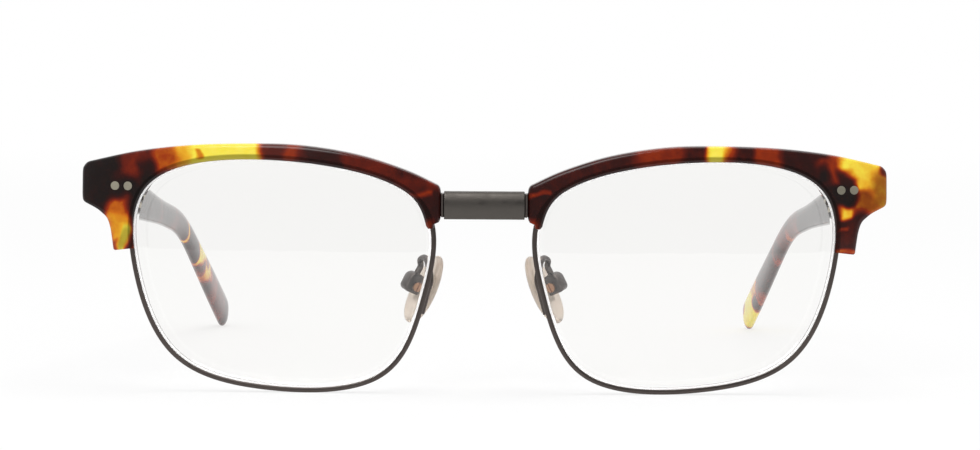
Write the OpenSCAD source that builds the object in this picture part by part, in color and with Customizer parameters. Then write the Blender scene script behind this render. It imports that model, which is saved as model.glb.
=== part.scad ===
// Browline glasses: acetate brows over metal rims, riveted hinges, and nose pads on wire arms.
// X runs across the face, with the wearer's left at +X. Y runs back along the temples. Z is up.
// The origin is under the middle of the glasses, on the surface that they stand on.
// Every paired piece is drawn once, for the wearer's left, and mirrored for the right.

/* [Lenses] */
// Width of a lens at its edge
lens_width = 53; // [44:0.2:63.6]
// Height of a lens at its edge
lens_height = 40.7; // [33.9:0.1:48.9]
// Gap between the two lenses across the nose
lens_gap = 17.6; // [15.4:0.1:21]
// Radius of the sphere that lenses, rims and brows follow
lens_curve = 135; // [110:1:260]
// Thickness of a lens
lens_thick = 1.8; // [1.5:0.1:2.2]

/* [Rims] */
// Width of a rim seen from the front
rim_face = 0.85; // [0.75:0.05:1.1]
// Depth of a rim from front to back
rim_depth = 1.8; // [1.6:0.1:2.2]
// Depth of the groove that holds the lens
rim_groove = 0.4; // [0.3:0.05:0.5]
// Height of the closing block on the outer side of a rim
lock_height = 4.9; // [4:0.1:6]
// Width of the closing block
lock_width = 1.8; // [1.6:0.1:2.2]

/* [Brows] */
// Height of a brow above the lens's top edge
brow_rise = 2.25; // [2:0.05:4]
// Length of the end piece beyond the lens's outer edge
end_overhang = 8.7; // [7.6:0.1:12]
// Acetate in front of the middle of the lens edge
brow_front = 2.6; // [2.2:0.1:3.2]
// Acetate behind the middle of the lens edge
brow_rear = 1.4; // [1:0.1:2]
// Softening of the brow's edges
brow_bevel = 0.35; // [0.2:0.05:0.5]

/* [Bridge] */
// Height of the bar between the rims
bar_height = 4.1; // [3.5:0.1:5.2]
// Width of the cover over the bar
cover_width = 14; // [11:0.1:14.4]
// Drop of the bar's middle below the lens's top edge
bridge_drop = 8.2; // [7.5:0.1:9]

/* [Temples] */
// Thickness of a temple at the hinge
temple_thick = 3.6; // [3:0.1:4.2]
// Height of a temple at the hinge
temple_height = 7.2; // [6.6:0.1:8.6]
// Thickness of a temple at the ear bend
waist_thick = 2.4; // [2.2:0.1:3]
// Height of a temple at the ear bend
waist_height = 4.2; // [3.8:0.1:5.2]
// Height of a temple near its tip
tip_height = 5.6; // [4.6:0.1:7]
// Length from the hinge to the ear bend
bend_distance = 93; // [77:1:112]
// Length from the ear bend to the tip
drop_length = 52; // [43:1:63]

/* [Hinges] */
// Drop of the hinge's middle below the lens's top edge
hinge_drop = 5.35; // [5:0.05:6]
// Outer diameter of the hinge barrel
barrel_dia = 2.4; // [2.2:0.1:2.8]
// Height of the hinge barrel
hinge_height = 5; // [4.2:0.1:6]
// Diameter of the hinge screw
hinge_screw_dia = 1.2; // [1:0.05:1.4]
// Diameter of the rivet heads on the front
rivet_head_dia = 1.5; // [1.3:0.05:1.8]
// Distance between the two rivets of a pair
rivet_spacing = 2.3; // [2:0.05:2.6]

/* [Nose pads] */
// Length of a nose pad
pad_length = 13; // [11:0.1:15.5]
// Width of a nose pad
pad_width = 7.4; // [6.2:0.1:8.6]
// Thickness of a nose pad
pad_thick = 2; // [1.7:0.1:2.4]
// Diameter of the pad arm's wire
arm_dia = 1.1; // [0.9:0.05:1.3]

/* [Fits] */
// Gap round a piece that is seated or glued
seat_gap = 0.06; // [0.05:0.01:0.1]
// Gap round a piece that turns
running_gap = 0.04; // [0.03:0.01:0.08]

/* [Hidden] */
$fn = 32;
slack = 1; // how far a cutting shape runs past what it cuts

// Small functions that the shapes share

function mix(a, b, k) = a + (b - a)*k;
function smooth(k) = let (c = max(0, min(1, k))) c*c*(3 - 2*c);
function unit(v) = v/norm(v);
function last(v) = v[len(v) - 1];

// The point at t, in turns, on a closed cubic B-spline
function loop_spline(ctrl, t) =
    let (n = len(ctrl), s = (t - floor(t))*n, i = floor(s), f = s - i)
    (pow(1 - f, 3)*ctrl[(i + n - 1)%n] + (3*pow(f, 3) - 6*f*f + 4)*ctrl[i%n]
        + (3*f*(1 + f - f*f) + 1)*ctrl[(i + 1)%n] + pow(f, 3)*ctrl[(i + 2)%n])/6;

// The point at t, from 0 to 1, on a smooth curve through every point of p
function through(p, t) =
    let (n = len(p) - 1, s = max(0, min(t, 1))*n, i = min(floor(s), n - 1), f = s - i,
        b = p[i], c = p[i + 1],
        a = i > 0 ? p[i - 1] : 2*b - c, d = i + 2 <= n ? p[i + 2] : 2*c - b)
    b + f*((c - a)/2 + f*(a - 2.5*b + 2*c - d/2 + f*(1.5*(b - c) + (d - a)/2)));

// A solid skinned over rings of points. Without closing on itself it ends in flat caps,
// or in the two points of tips.
module skin(rings, closed = false, tips = []) {
    n = len(rings);
    m = len(rings[0]);
    sides = [for (j = [0:n - (closed ? 1 : 2)], i = [0:m - 1])
        let (a = j*m + i, b = j*m + (i + 1)%m, c = ((j + 1)%n)*m + i, d = ((j + 1)%n)*m + (i + 1)%m)
        each [[a, b, d], [a, d, c]]];
    caps = closed ? [] : tips == [] ?
        [[for (i = [0:m - 1]) (m - i)%m], [for (i = [0:m - 1]) (n - 1)*m + i]] :
        [for (i = [0:m - 1]) each [[(i + 1)%m, i, n*m], [(n - 1)*m + i, (n - 1)*m + (i + 1)%m, n*m + 1]]];
    polyhedron(points = concat([for (r = rings) each r], tips), faces = concat(sides, caps));
}

// Lens outline: the control points of a closed curve as drawn, about the middle of the lens.
// It is fitted to the lens's width and height.
lens_draw = [
    [26.5, 0.5], [27.5, 17], [8.5, 22], [-30, 17], [-25, -4.5], [-20, -20.5], [3.5, -20.5], [20.5, -16.5]];
outline_steps = 72;
drawn = [for (i = [0:outline_steps - 1]) loop_spline(lens_draw, i/outline_steps)];
drawn_low = [min([for (p = drawn) p.x]), min([for (p = drawn) p.y])];
drawn_high = [max([for (p = drawn) p.x]), max([for (p = drawn) p.y])];
lens_fit = [lens_width/(drawn_high.x - drawn_low.x), lens_height/(drawn_high.y - drawn_low.y)];

rim_out = rim_face - rim_groove; // rim outside the lens's edge
lens_x = (lens_gap + lens_width)/2;
lens_z = rim_out + lens_height/2;
lens_top = rim_out + lens_height;
lens_outer_x = lens_gap/2 + lens_width;
curve_x = lens_x - 9.3; // the lens curve comes nearest to the front inside the lens's middle

// A point of the lens's edge, at t turns from its outer side over the top, as [x, z]
function edge(t) =
    let (p = loop_spline(lens_draw, t) - (drawn_low + drawn_high)/2)
    [lens_x + p.x*lens_fit.x, lens_z + p.y*lens_fit.y];
function edge_normal(t) = let (d = edge(t + 0.001) - edge(t - 0.001)) unit([d.y, -d.x]);
function edge_out(t, out) = edge(t) + out*edge_normal(t);

// How far the lens curve lies behind its foremost point, at [x, z]
function sag(p) =
    lens_curve - sqrt(pow(lens_curve, 2) - pow(p.x - curve_x, 2) - pow(p.y - lens_z, 2));
function on_curve(p, depth) = [p.x, sag(p) + depth, p.y];

// The turn at which the lens's edge stands at height z, on its outer or its nasal side
fine_turns = [for (i = [0:399]) i/400 - 0.25];
function height_miss(t, z) = abs(edge(t).y - z);
function turn_at(z, side) =
    let (found = [for (t = fine_turns) if ((edge(t).x - lens_x)*side > 0) [height_miss(t, z), t]],
        best = min([for (f = found) f[0]]),
        t = [for (f = found) if (f[0] == best) f[1]][0])
    t + 0.002*(z - edge(t).y)/(edge(t + 0.001).y - edge(t - 0.001).y);

// The turn at which the lens's edge lies nearest to a point [x, z]
upper_turns = [for (i = [0:320]) i/500 - 0.08];
upper_edge = [for (t = upper_turns) edge(t)];
function nearest_turn(p) =
    let (gaps = [for (q = upper_edge) norm(q - p)], best = min(gaps))
    upper_turns[search(best, gaps)[0]];

// Front plane heights and places
bridge_z = lens_top - bridge_drop;
hinge_z = lens_top - hinge_drop;
lock_z = lens_top - 13.35; // the closing block lies behind the brow's leg
end_x = lens_outer_x + end_overhang;
temple_inner_x = end_x - temple_thick;

// Brow outline, from its nasal tip over the top to the bottom of the leg
nasal_x = lens_gap/2 - 0.95;
tip_z = bridge_z - 4;
leg_z = lock_z - lock_height/2 - 0.6;
leg_x = lens_outer_x + rim_out + lock_width + 0.85;
nasal_end = [[nasal_x + 0.35, bridge_z - 2.95], [nasal_x, bridge_z - 2.3], [nasal_x, bridge_z + 0.2],
    [nasal_x, bridge_z + 2.6]];
function above_lens(u, rise) = [lens_x + u*lens_width/2, lens_top + rise];
top_curve = [
    [nasal_x + 0.4, bridge_z + 3.4], above_lens(-0.82, brow_rise - 4.45), above_lens(-0.52, brow_rise - 1.9),
    above_lens(-0.19, brow_rise - 0.4), above_lens(0.12, brow_rise), above_lens(0.58, brow_rise - 0.35),
    above_lens(0.96, brow_rise - 1.55), [end_x - 0.8, hinge_z + 4.35]];
end_edge = [
    [end_x - 0.2, hinge_z + 3.75], [end_x, hinge_z + 3.3], [end_x, hinge_z + 0.5], [end_x, hinge_z - 2.4]];
leg_curve = [
    [end_x - 0.4, hinge_z - 2.95], [end_x - 2.5, hinge_z - 4], [end_x - 3.6, hinge_z - 4.8],
    [leg_x + 1.1, lock_z + 2.3], [leg_x + 0.55, lock_z + 0.8], [leg_x + 0.25, lock_z - 0.9], [leg_x, leg_z + 0.6]];
leg_end = [[leg_x - 0.15, leg_z + 0.2], [leg_x - 0.5, leg_z]];
brow_outline = concat(
    nasal_end,
    [for (i = [0:22]) through(top_curve, i/22)],
    end_edge,
    [for (i = [0:10]) through(leg_curve, i/10)],
    leg_end);

// The brow laps over the rim's inner edge, most at its nasal tip
tip_turn = turn_at(tip_z, -1);
tip_lap = 0.6;
function lap(p) = 0.1 + (tip_lap - 0.1)*(p.x < lens_x ? smooth((bridge_z + 2.9 - p.y)/6) : 0);

// The back of the brow follows the lens curve. It is flat where the temple meets the end piece.
// At the nasal tip it fades out, where only the lip in front of the rim is left.
butt_y = 9;
lip_depth = -max(rim_depth, lens_thick)/2 - seat_gap - 0.04;
function brow_back(p, out) =
    let (block = smooth((p.x - end_x + 14)/4)*smooth((p.y - hinge_z + 4.2)/1.8),
        full = mix(sag(p) + brow_rear, butt_y, block))
    mix(sag(p) + lip_depth + 0.05, full, smooth((out - 0.9)/1));

// A section of the brow, across it from the lens side at t to the point outer
function brow_section(t, inner_out, outer) =
    let (normal = edge_normal(t),
        inner = edge_out(t, inner_out),
        out = (outer - edge(t))*normal,
        step = min(rim_out + seat_gap + 0.04, out - 0.25),
        corner = edge_out(t, step),
        along = unit(outer - inner),
        b = min(brow_bevel, norm(outer - inner)/3),
        middle = (inner + outer)/2,
        back = brow_back(outer, out))
    [
        on_curve(corner, lip_depth),
        on_curve(inner, lip_depth),
        on_curve(inner, b - brow_front),
        on_curve(inner + b*along, -brow_front),
        on_curve(middle, -brow_front),
        on_curve(outer - b*along, -brow_front),
        on_curve(outer, b - brow_front),
        [outer.x, back - min(b, (back - sag(outer) - lip_depth)/3), outer.y],
        [(outer - b*along).x, brow_back(outer - b*along, out), (outer - b*along).y],
        [corner.x, brow_back(corner, out), corner.y],
    ];

brow_rings = concat(
    [brow_section(tip_turn, -rim_groove - tip_lap + 0.3, edge_out(tip_turn, rim_out - 0.3)),
        brow_section(tip_turn - 0.004, -rim_groove - tip_lap, edge_out(tip_turn - 0.004, rim_out))],
    [for (q = brow_outline) let (t = nearest_turn(q)) brow_section(t, -rim_groove - lap(edge(t)), q)]);

// Temple: a bar that falls slowly to the ear bend and then drops until its tip touches the surface
temple_fall = 5.6; // degrees below level, from the hinge to the bend
temple_toe = 5.1; // degrees inward
drop_toe = 7; // degrees inward, after the bend
bend_length = 30;
temple_gap = 0.1; // between the temple's end and the end piece
temple_y = butt_y + temple_gap;
temple_length = bend_distance + drop_length;
temple_steps = 36;
step_length = temple_length/temple_steps;

function bent(s) = smooth((s - bend_distance + bend_length/2)/bend_length);
function fall(s, drop) = mix(temple_fall, drop, bent(s));
function toe(s) = mix(temple_toe, drop_toe, bent(s));
function temple_ahead(s, drop) =
    let (f = fall(s, drop), t = toe(s)) [-sin(t)*cos(f), cos(t)*cos(f), -sin(f)];
function temple_up(s, drop) =
    let (f = fall(s, drop), t = toe(s)) [-sin(t)*sin(f), cos(t)*sin(f), cos(f)];
function temple_side(s) = [cos(toe(s)), sin(toe(s)), 0];

function temple_tall(s) =
    s < bend_distance ? mix(temple_height, waist_height, smooth((s/bend_distance - 0.35)/0.45)) :
    mix(waist_height, tip_height, smooth((s - bend_distance)/(drop_length - 8)));
function temple_wide(s) = mix(temple_thick, waist_thick, smooth(s/bend_distance));

// The temple's middle line: a point for each step, from its front end
temple_start = [end_x - temple_thick/2, temple_y, hinge_z - 0.2];
function temple_line(drop) = [
    for (i = 0, p = temple_start; i <= temple_steps;
        p = p + step_length*temple_ahead((i + 0.5)*step_length, drop), i = i + 1) p];

// An oblong, wide by tall, with its corners rounded by r.x across and r.y up, as 12 points
function oblong(wide, tall, r) =
    [for (c = [[1, 1, 0], [-1, 1, 90], [-1, -1, 180], [1, -1, 270]], a = [0, 45, 90])
        [c.x*(wide/2 - r.x) + r.x*cos(c.z + a), c.y*(tall/2 - r.y) + r.y*sin(c.z + a)]];

// A ring of the temple's section at s, on its middle line
function temple_place(s, line, drop, section) =
    let (i = min(floor(s/step_length), temple_steps - 1),
        middle = mix(line[i], line[i + 1], s/step_length - i))
    [for (q = section) middle + q.x*temple_side(s) + q.y*temple_up(s, drop)];

// The edges are soft at the hinge and fully round from the bend on. The tip is rounded over its last stretch.
edge_round = 0.9;
tip_round = 3.4;
function tip_scale(s) = let (k = max(0, s - temple_length + tip_round)/tip_round) sqrt(1 - k*k);
function temple_ring(s, line, drop) =
    let (k = tip_scale(s), wide = temple_wide(s)*mix(1, k, 0.7),
        tall = temple_tall(s)*mix(1, k, 0.8),
        r = mix(min(edge_round, wide/3)*[1, 1], [0.48*wide, 0.42*tall], smooth(s/bend_distance)))
    temple_place(s, line, drop, oblong(wide, tall, r));

// The front ring is cut square to Y
function square_cut(ring, drop) =
    [for (p = ring) p + temple_ahead(0, drop)*(temple_y - p.y)/temple_ahead(0, drop).y];
function temple_rings(drop) =
    let (line = temple_line(drop))
    concat([square_cut(temple_ring(0, line, drop), drop)],
        [for (i = [1:temple_steps - 2]) temple_ring(i*step_length, line, drop)],
        [for (back = [2.4, 1.1, 0.35]) temple_ring(temple_length - back, line, drop)]);

// The drop that brings the lowest point of the tip to the surface, closed in on in three steps
function lowest(rings) = min([for (r = rings, p = r) p.z]);
function better_drop(drop) =
    drop + lowest(temple_rings(drop))/(drop_length*cos(drop))*180/PI;
drop_fall = better_drop(better_drop(better_drop(30)));
temple_middle = temple_line(drop_fall);
temple_end_y = last(temple_middle).y;

// The wire core of a temple: a flat blade that tapers towards the tip
core_from = 13;
core_to = temple_length - 9;
core_steps = 24;
core_wide = 1.1;
core_tall = 2.2;
core_taper = 0.65;
function core_rings(grow) = [
    for (i = [0:core_steps])
        let (s = mix(core_from - grow, core_to + grow, i/core_steps), k = mix(1, core_taper, i/core_steps),
            wide = core_wide*k + 2*grow, tall = core_tall*k + 2*grow)
        temple_place(s, temple_middle, drop_fall,
            [[wide/2, tall/3], [wide/4, tall/2], [-wide/4, tall/2], [-wide/2, tall/3],
                [-wide/2, -tall/3], [-wide/4, -tall/2], [wide/4, -tall/2], [wide/2, -tall/3]])];

// Hinge: a barrel of knuckles on an upright screw, inside the temple's front end
leaf_thick = 0.9;
leaf_let_in = 0.5; // how deep a leaf is let into the acetate
leaf_proud = leaf_thick - leaf_let_in;
leaf_gap = 0.1; // between the barrel and the front leaf
temple_leaf_gap = 0.3; // between the barrel and the temple's leaf
barrel_r = barrel_dia/2;
hinge_x = temple_inner_x - leaf_proud - barrel_r - temple_leaf_gap;
hinge_y = butt_y + leaf_proud + barrel_r + leaf_gap;
knuckle = hinge_height/5;
knuckle_gap = 0.05; // between two knuckles, up the barrel
screw_head_dia = hinge_screw_dia + 0.7;
screw_head_height = 0.5;
slot_wide = 0.3; // of a screw's slot
slot_deep = 0.2;
temple_leaf_length = 10;
temple_leaf_start = 0.3;

// Rivets through the end piece, in line with the hinge's middle
rivet_x = end_x - 8.2;
rivet_shank_dia = rivet_head_dia - 0.4;
rivet_head_depth = 1.4;
rivet_proud = 0.03;
front_leaf_x = rivet_x - 1.2; // inner edge of the front leaf
temple_rivet_s = 5; // the first temple rivet, from the temple's end
temple_rivet_step = rivet_spacing + 0.7;

// The closing block of a rim lies outside it, in a pocket of the brow's leg
lock_split = 0.3;
lock_depth = 2.6;
lock_x = lens_outer_x + rim_out + 0.02;
lock_y = sag([lock_x, lock_z]) - rim_depth/2;
rim_screw_dia = 1;

// The bridge bar runs behind the brows' nasal ends, where it meets both rims
bar_y = sag([nasal_x, bridge_z]) + lip_depth + 0.15;
bar_depth = 1.4;
bar_end_x = nasal_x + 4.4;
cover_front_y = -1.9;
cover_wall = 0.6;
cover_flange = 0.3;
cover_bevel = 0.35;
cover_depth = 3.1;
bar_block_x = cover_width/2 - 0.4;
brow_screw_at = [nasal_x + 1.5, bridge_z + 0.4];
brow_screw_dia = 1;
brow_screw_bite = 1.1; // length of the screw in the acetate
brow_screw_head = [1.8, 0.45];

// Nose pad: a frame with its long way down the pad, its width back along the nose,
// and its third way out of the nose, towards the arm
pad_lean = 25.5; // degrees that the pad's lower end stands outward
pad_splay = 29; // degrees that the pad's back edge stands outward
pad_down = [sin(pad_lean), 0, -cos(pad_lean)];
pad_back = unit(cross(cross(pad_down, [sin(pad_splay), cos(pad_splay), 0]), pad_down));
pad_out = cross(pad_down, pad_back);
box_middle = [lens_gap/2 + 3.6, 7, bridge_z - 14.4];
box_long = 3;
box_wide = 2.6;
box_deep = 2.4;
box_wall = 0.5;
pad_gap = 0.45; // between the pad and the mouth of its box, for its rocking
pad_screw_dia = 1;
pad_screw_drop = 0.25; // from the middle of the box towards the pad
pad_screw_head = [1.7, 0.4];
tongue_thick = box_wide - 2*box_wall - 2*running_gap;
tongue_long = 1.6;
insert_plate = [5, 3.2, 0.6];
pad_face = -box_deep/2 - pad_gap; // the pad's outer side, below the middle of the box
insert_top = pad_face - 0.7;

// The pad arm starts as a foot along the rim's back, turns over and comes down on the pad's box
arm_r = arm_dia/2;
function rim_back(z) =
    let (t = turn_at(z, -1), p = edge_out(t, rim_out - rim_face/2)) on_curve(p, rim_depth/2 + arm_r + 0.04);
function in_pad_frame(p) = box_middle + p.x*pad_down + p.y*pad_back + p.z*pad_out;
box_end = -box_long/2 - 0.02; // where the arm meets the upper end of the box
arm_path = [
    rim_back(bridge_z - 19), rim_back(bridge_z - 16.8), rim_back(bridge_z - 14.5), rim_back(bridge_z - 12.2),
    [lens_gap/2 + 1, 3.3, bridge_z - 10.4], [lens_gap/2 + 1.4, 4.7, bridge_z - 9.9],
    [lens_gap/2 + 2, 6.1, bridge_z - 10.4], in_pad_frame([box_end - 1.4, 0, 0.45]),
    in_pad_frame([box_end, 0, 0.45])];
arm_steps = 26;
arm_sides = 8;
arm_plane = unit([-0.8, 0.5, 0]); // square to the turn of the arm
function arm_ring(k) =
    let (p = through(arm_path, k), ahead = unit(through(arm_path, k + 0.01) - through(arm_path, k - 0.01)),
        side = unit(cross(ahead, arm_plane)), up = cross(side, ahead),
        foot = mix([0.75, 0.35], [1, 1], smooth(k/0.28)))
    [for (i = [0:arm_sides - 1]) let (a = (i + 0.5)*360/arm_sides)
        p + arm_r*cos(a)*foot.x*up + arm_r*(sin(a)*foot.y - 1 + foot.y)*side];

// Overall place: the middle of the glasses goes over the origin
middle_y = (cover_front_y + temple_end_y)/2;

module left() { translate([0, -middle_y, 0]) children(); }
module right() { mirror([1, 0, 0]) left() children(); }

// Frames for what belongs to a nose pad and to a temple's front end
module in_frame(x, y, z, origin) {
    multmatrix([[x.x, y.x, z.x, origin.x], [x.y, y.y, z.y, origin.y], [x.z, y.z, z.z, origin.z]]) children();
}
module at_pad() { in_frame(pad_down, pad_back, pad_out, box_middle) children(); }
module at_temple() {
    in_frame(temple_side(0), temple_ahead(0, drop_fall), temple_up(0, drop_fall),
        temple_start - temple_thick/2*temple_side(0)) children();
}

// The two values that lie half a size either side of a middle one
function about(middle, size) = [middle - size/2, middle + size/2];

// A block between two values on each axis
module block(x, y, z) {
    translate([x[0], y[0], z[0]]) cube([x[1] - x[0], y[1] - y[0], z[1] - z[0]]);
}

// Cylinders along each axis between two values, at a point of the other two
module along_x(at, x, dia) {
    translate([x[0], at.x, at.y]) rotate([0, 90, 0]) cylinder(d = dia, h = x[1] - x[0]);
}
module along_y(at, y, dia) {
    translate([at.x, y[1], at.y]) rotate([90, 0, 0]) cylinder(d = dia, h = y[1] - y[0]);
}
module along_z(at, z, dia) {
    translate([at.x, at.y, z[0]]) cylinder(d = dia, h = z[1] - z[0]);
}

// The outline of a rim's outer side as a solid along Y, grown by a gap
module rim_outline(grow) {
    translate([0, hinge_y, 0]) rotate([90, 0, 0]) linear_extrude(2*hinge_y)
        polygon([for (i = [0:outline_steps - 1]) edge_out(i/outline_steps, rim_out + grow)]);
}

module brow() {
    color("saddlebrown")
    difference() {
        skin(brow_rings);
        front_rivet_shapes(seat_gap, slack);
        block([lock_x - 1, lock_x + lock_width + seat_gap], [lock_y - seat_gap, butt_y],
            [leg_z - slack, lock_z + lock_height/2 + seat_gap]);
        block([nasal_x - slack, bar_end_x + seat_gap], [bar_y - seat_gap, butt_y],
            about(bridge_z, bar_height + 2*seat_gap));
        block([front_leaf_x - seat_gap, end_x - temple_thick], [butt_y - leaf_let_in, butt_y + slack],
            about(hinge_z, hinge_height + 2*seat_gap));
        along_y(brow_screw_at, [bar_y - brow_screw_bite, bar_y], brow_screw_dia + seat_gap);
    }
}

module rim() {
    color("dimgray")
    skin([for (i = [0:outline_steps]) let (t = rim_turn(i))
        [for (q = rim_section) on_curve(edge_out(t, q.x), q.y)]]);
}
rim_round = 0.22;
groove_mouth = 0.9;
rim_section = [
    [0, 0], [-rim_groove, -groove_mouth/2], [-rim_groove, -rim_depth/2], [rim_out - rim_round, -rim_depth/2],
    [rim_out, rim_round - rim_depth/2], [rim_out, rim_depth/2 - rim_round], [rim_out - rim_round, rim_depth/2],
    [-rim_groove, rim_depth/2], [-rim_groove, groove_mouth/2]];
// A rim starts and ends at the split of its closing block
rim_start = turn_at(lock_z + lock_split/2, 1);
rim_end = turn_at(lock_z - lock_split/2, 1) + 1;
function rim_turn(i) = mix(rim_start, rim_end, i/outline_steps);

// A lens has a ridge round its edge, which lies in the groove of the rim
lens_seat = 0.05;
ridge_half = groove_mouth/2 - lens_seat;
function lens_loop(scale, inset, depth) = [
    for (i = [0:outline_steps - 1])
        on_curve(mix([lens_x, lens_z], edge_out(i/outline_steps, -inset), scale), depth)];
module lens() {
    shoulder = rim_groove + lens_seat;
    half = lens_thick/2;
    color("azure", 0.4)
    skin([lens_loop(0.5, shoulder, -half), lens_loop(1, shoulder, -half),
        lens_loop(1, shoulder, -ridge_half), lens_loop(1, lens_seat, 0), lens_loop(1, shoulder, ridge_half),
        lens_loop(1, shoulder, half), lens_loop(0.5, shoulder, half)],
        tips = [on_curve([lens_x, lens_z], -half), on_curve([lens_x, lens_z], half)]);
}

// The closing block is in two halves, which the rim screw draws together
module rim_lock() {
    color("dimgray")
    difference() {
        for (side = [0, 1]) let (low = lock_z - lock_height/2 + side*(lock_height + lock_split)/2)
            block([lock_x, lock_x + lock_width], [lock_y, lock_y + lock_depth],
                [low, low + (lock_height - lock_split)/2]);
        along_z(rim_screw_at, about(lock_z, 2*lock_height), rim_screw_dia + seat_gap);
    }
}
rim_screw_at = [lock_x + lock_width/2, lock_y + lock_depth/2];
module rim_screw() {
    low = lock_z - lock_height/2;
    color("silver")
    difference() {
        union() {
            along_z(rim_screw_at, [low - 0.4, low], rim_screw_dia + 0.5);
            along_z(rim_screw_at, [low - 0.2, low + lock_height - 0.6], rim_screw_dia);
        }
        slot(rim_screw_at, low - 0.4);
    }
}
// A screwdriver slot across a head, centred on its face
module slot(at, z) {
    translate([at.x, at.y, z]) cube([4, slot_wide, 2*slot_deep], center = true);
}

module bridge_bar() {
    back = bar_y + bar_depth;
    color("dimgray")
    difference() {
        translate([0, 0, bridge_z - bar_height/2]) linear_extrude(bar_height)
            polygon([[-bar_end_x, back], [-bar_end_x, bar_y], [-bar_block_x, bar_y],
                [-bar_block_x, cover_front_y + cover_wall + seat_gap],
                [bar_block_x, cover_front_y + cover_wall + seat_gap], [bar_block_x, bar_y],
                [bar_end_x, bar_y], [bar_end_x, back]]);
        for (side = [0, 1]) mirror([side, 0, 0]) {
            rim_outline(0.05);
            along_y(brow_screw_at, [bar_y - slack, back + slack], brow_screw_dia + 2*seat_gap);
        }
    }
}

module bridge_cover() {
    half = bar_height/2 + seat_gap + cover_flange;
    color("dimgray")
    translate([-cover_width/2, cover_front_y, bridge_z]) rotate([90, 0, 90]) linear_extrude(cover_width)
        polygon([[0, -half + cover_bevel], [cover_bevel, -half], [cover_depth, -half],
            [cover_depth, cover_flange - half], [cover_wall, cover_flange - half],
            [cover_wall, half - cover_flange], [cover_depth, half - cover_flange],
            [cover_depth, half], [cover_bevel, half], [0, half - cover_bevel]]);
}

module brow_screw() {
    back = bar_y + bar_depth;
    color("silver")
    difference() {
        union() {
            along_y(brow_screw_at, [bar_y - brow_screw_bite + 0.1, back + 0.2], brow_screw_dia);
            along_y(brow_screw_at, [back, back + brow_screw_head.y], brow_screw_head.x);
        }
        translate([brow_screw_at.x, back + brow_screw_head.y, brow_screw_at.y])
            cube([4, 2*slot_deep, slot_wide], center = true);
    }
}

// Heads and shanks of the front rivets, grown by a gap and run past their ends by a reach
module front_rivet_shapes(grow, reach) {
    for (i = [0, 1]) let (p = [rivet_x + i*rivet_spacing, hinge_z], front = sag(p) - brow_front) {
        along_y(p, [front - 0.3 - reach, butt_y + leaf_proud - 0.15 + min(reach, 0.05)],
            rivet_shank_dia + 2*grow);
        along_y(p, [front - 0.3 - reach, front + rivet_head_depth + grow], rivet_head_dia + 2*grow);
    }
}
// They are filed level with the brow's front, where a plane touches it in the middle of each head
module front_rivets() {
    color("silver")
    intersection() {
        front_rivet_shapes(0, 0);
        for (i = [0, 1])
            let (p = on_curve([rivet_x + i*rivet_spacing, hinge_z], -brow_front),
                inward = unit([curve_x, lens_curve, lens_z] - p), across = unit(cross(inward, [0, 0, 1])))
            in_frame(across, inward, cross(across, inward), p)
                block(about(0, rivet_spacing - 0.1), [-rivet_proud, 2*butt_y], about(0, 2*rivet_spacing));
    }
}

// The levels of the barrel: even ones belong to the front, odd ones to the temple
function level_z(i) =
    let (low = hinge_z - hinge_height/2 + i*knuckle)
    [low + (i == 0 ? 0 : knuckle_gap/2), low + knuckle - (i == 4 ? 0 : knuckle_gap/2)];
module hinge_bore() {
    along_z([hinge_x, hinge_y], about(hinge_z, 2*hinge_height), hinge_screw_dia + 2*running_gap);
}

module front_hinge() {
    color("silver")
    difference() {
        union() {
            block([front_leaf_x, hinge_x + barrel_r], [butt_y - leaf_let_in + seat_gap, butt_y + leaf_proud],
                about(hinge_z, hinge_height));
            for (i = [0, 2, 4]) {
                along_z([hinge_x, hinge_y], level_z(i), barrel_dia);
                block(about(hinge_x, barrel_dia), [butt_y + leaf_proud - 0.2, hinge_y], level_z(i));
            }
        }
        hinge_bore();
        front_rivet_shapes(seat_gap, slack);
    }
}

module temple_hinge() {
    color("silver")
    difference() {
        union() {
            at_temple() block([-leaf_proud, leaf_let_in - seat_gap],
                [temple_leaf_start, temple_leaf_start + temple_leaf_length], about(0, hinge_height));
            for (i = [1, 3]) {
                along_z([hinge_x, hinge_y], level_z(i), barrel_dia);
                block([hinge_x, hinge_x + barrel_r + temple_leaf_gap + 0.3],
                    [hinge_y, hinge_y + 2.6], level_z(i));
            }
        }
        hinge_bore();
        temple_rivet_shapes(seat_gap, slack);
    }
}

// The temple's rivets run from the leaf to a head that is level with the outer face
module temple_rivet_shapes(grow, reach) {
    at_temple() for (i = [0, 1]) let (p = [temple_rivet_s + i*temple_rivet_step, 0]) {
        along_x(p, [0.15 - leaf_proud - min(reach, 0.05), temple_thick + reach], rivet_shank_dia + 2*grow);
        along_x(p, [temple_thick - rivet_head_depth - grow, temple_thick + reach + rivet_proud],
            rivet_head_dia + 2*grow);
    }
}
module temple_rivets() {
    color("silver") temple_rivet_shapes(0, 0);
}

module hinge_screw() {
    top = hinge_z + hinge_height/2;
    color("silver")
    difference() {
        union() {
            along_z([hinge_x, hinge_y], [hinge_z - hinge_height/2, top + 0.2], hinge_screw_dia);
            along_z([hinge_x, hinge_y], [top, top + screw_head_height], screw_head_dia);
        }
        slot([hinge_x, hinge_y], top + screw_head_height);
    }
}

module temple() {
    color("sienna")
    difference() {
        skin(temple_rings(drop_fall));
        skin(core_rings(seat_gap));
        at_temple() block([-slack, leaf_let_in],
            [-slack, temple_leaf_start + temple_leaf_length + seat_gap], about(0, hinge_height + 2*seat_gap));
        temple_rivet_shapes(seat_gap, slack);
    }
}

module temple_core() {
    color("silver") skin(core_rings(0));
}

module pad_arm() {
    color("dimgray") skin([for (i = [0:arm_steps]) arm_ring(i/arm_steps)]);
}

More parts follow.
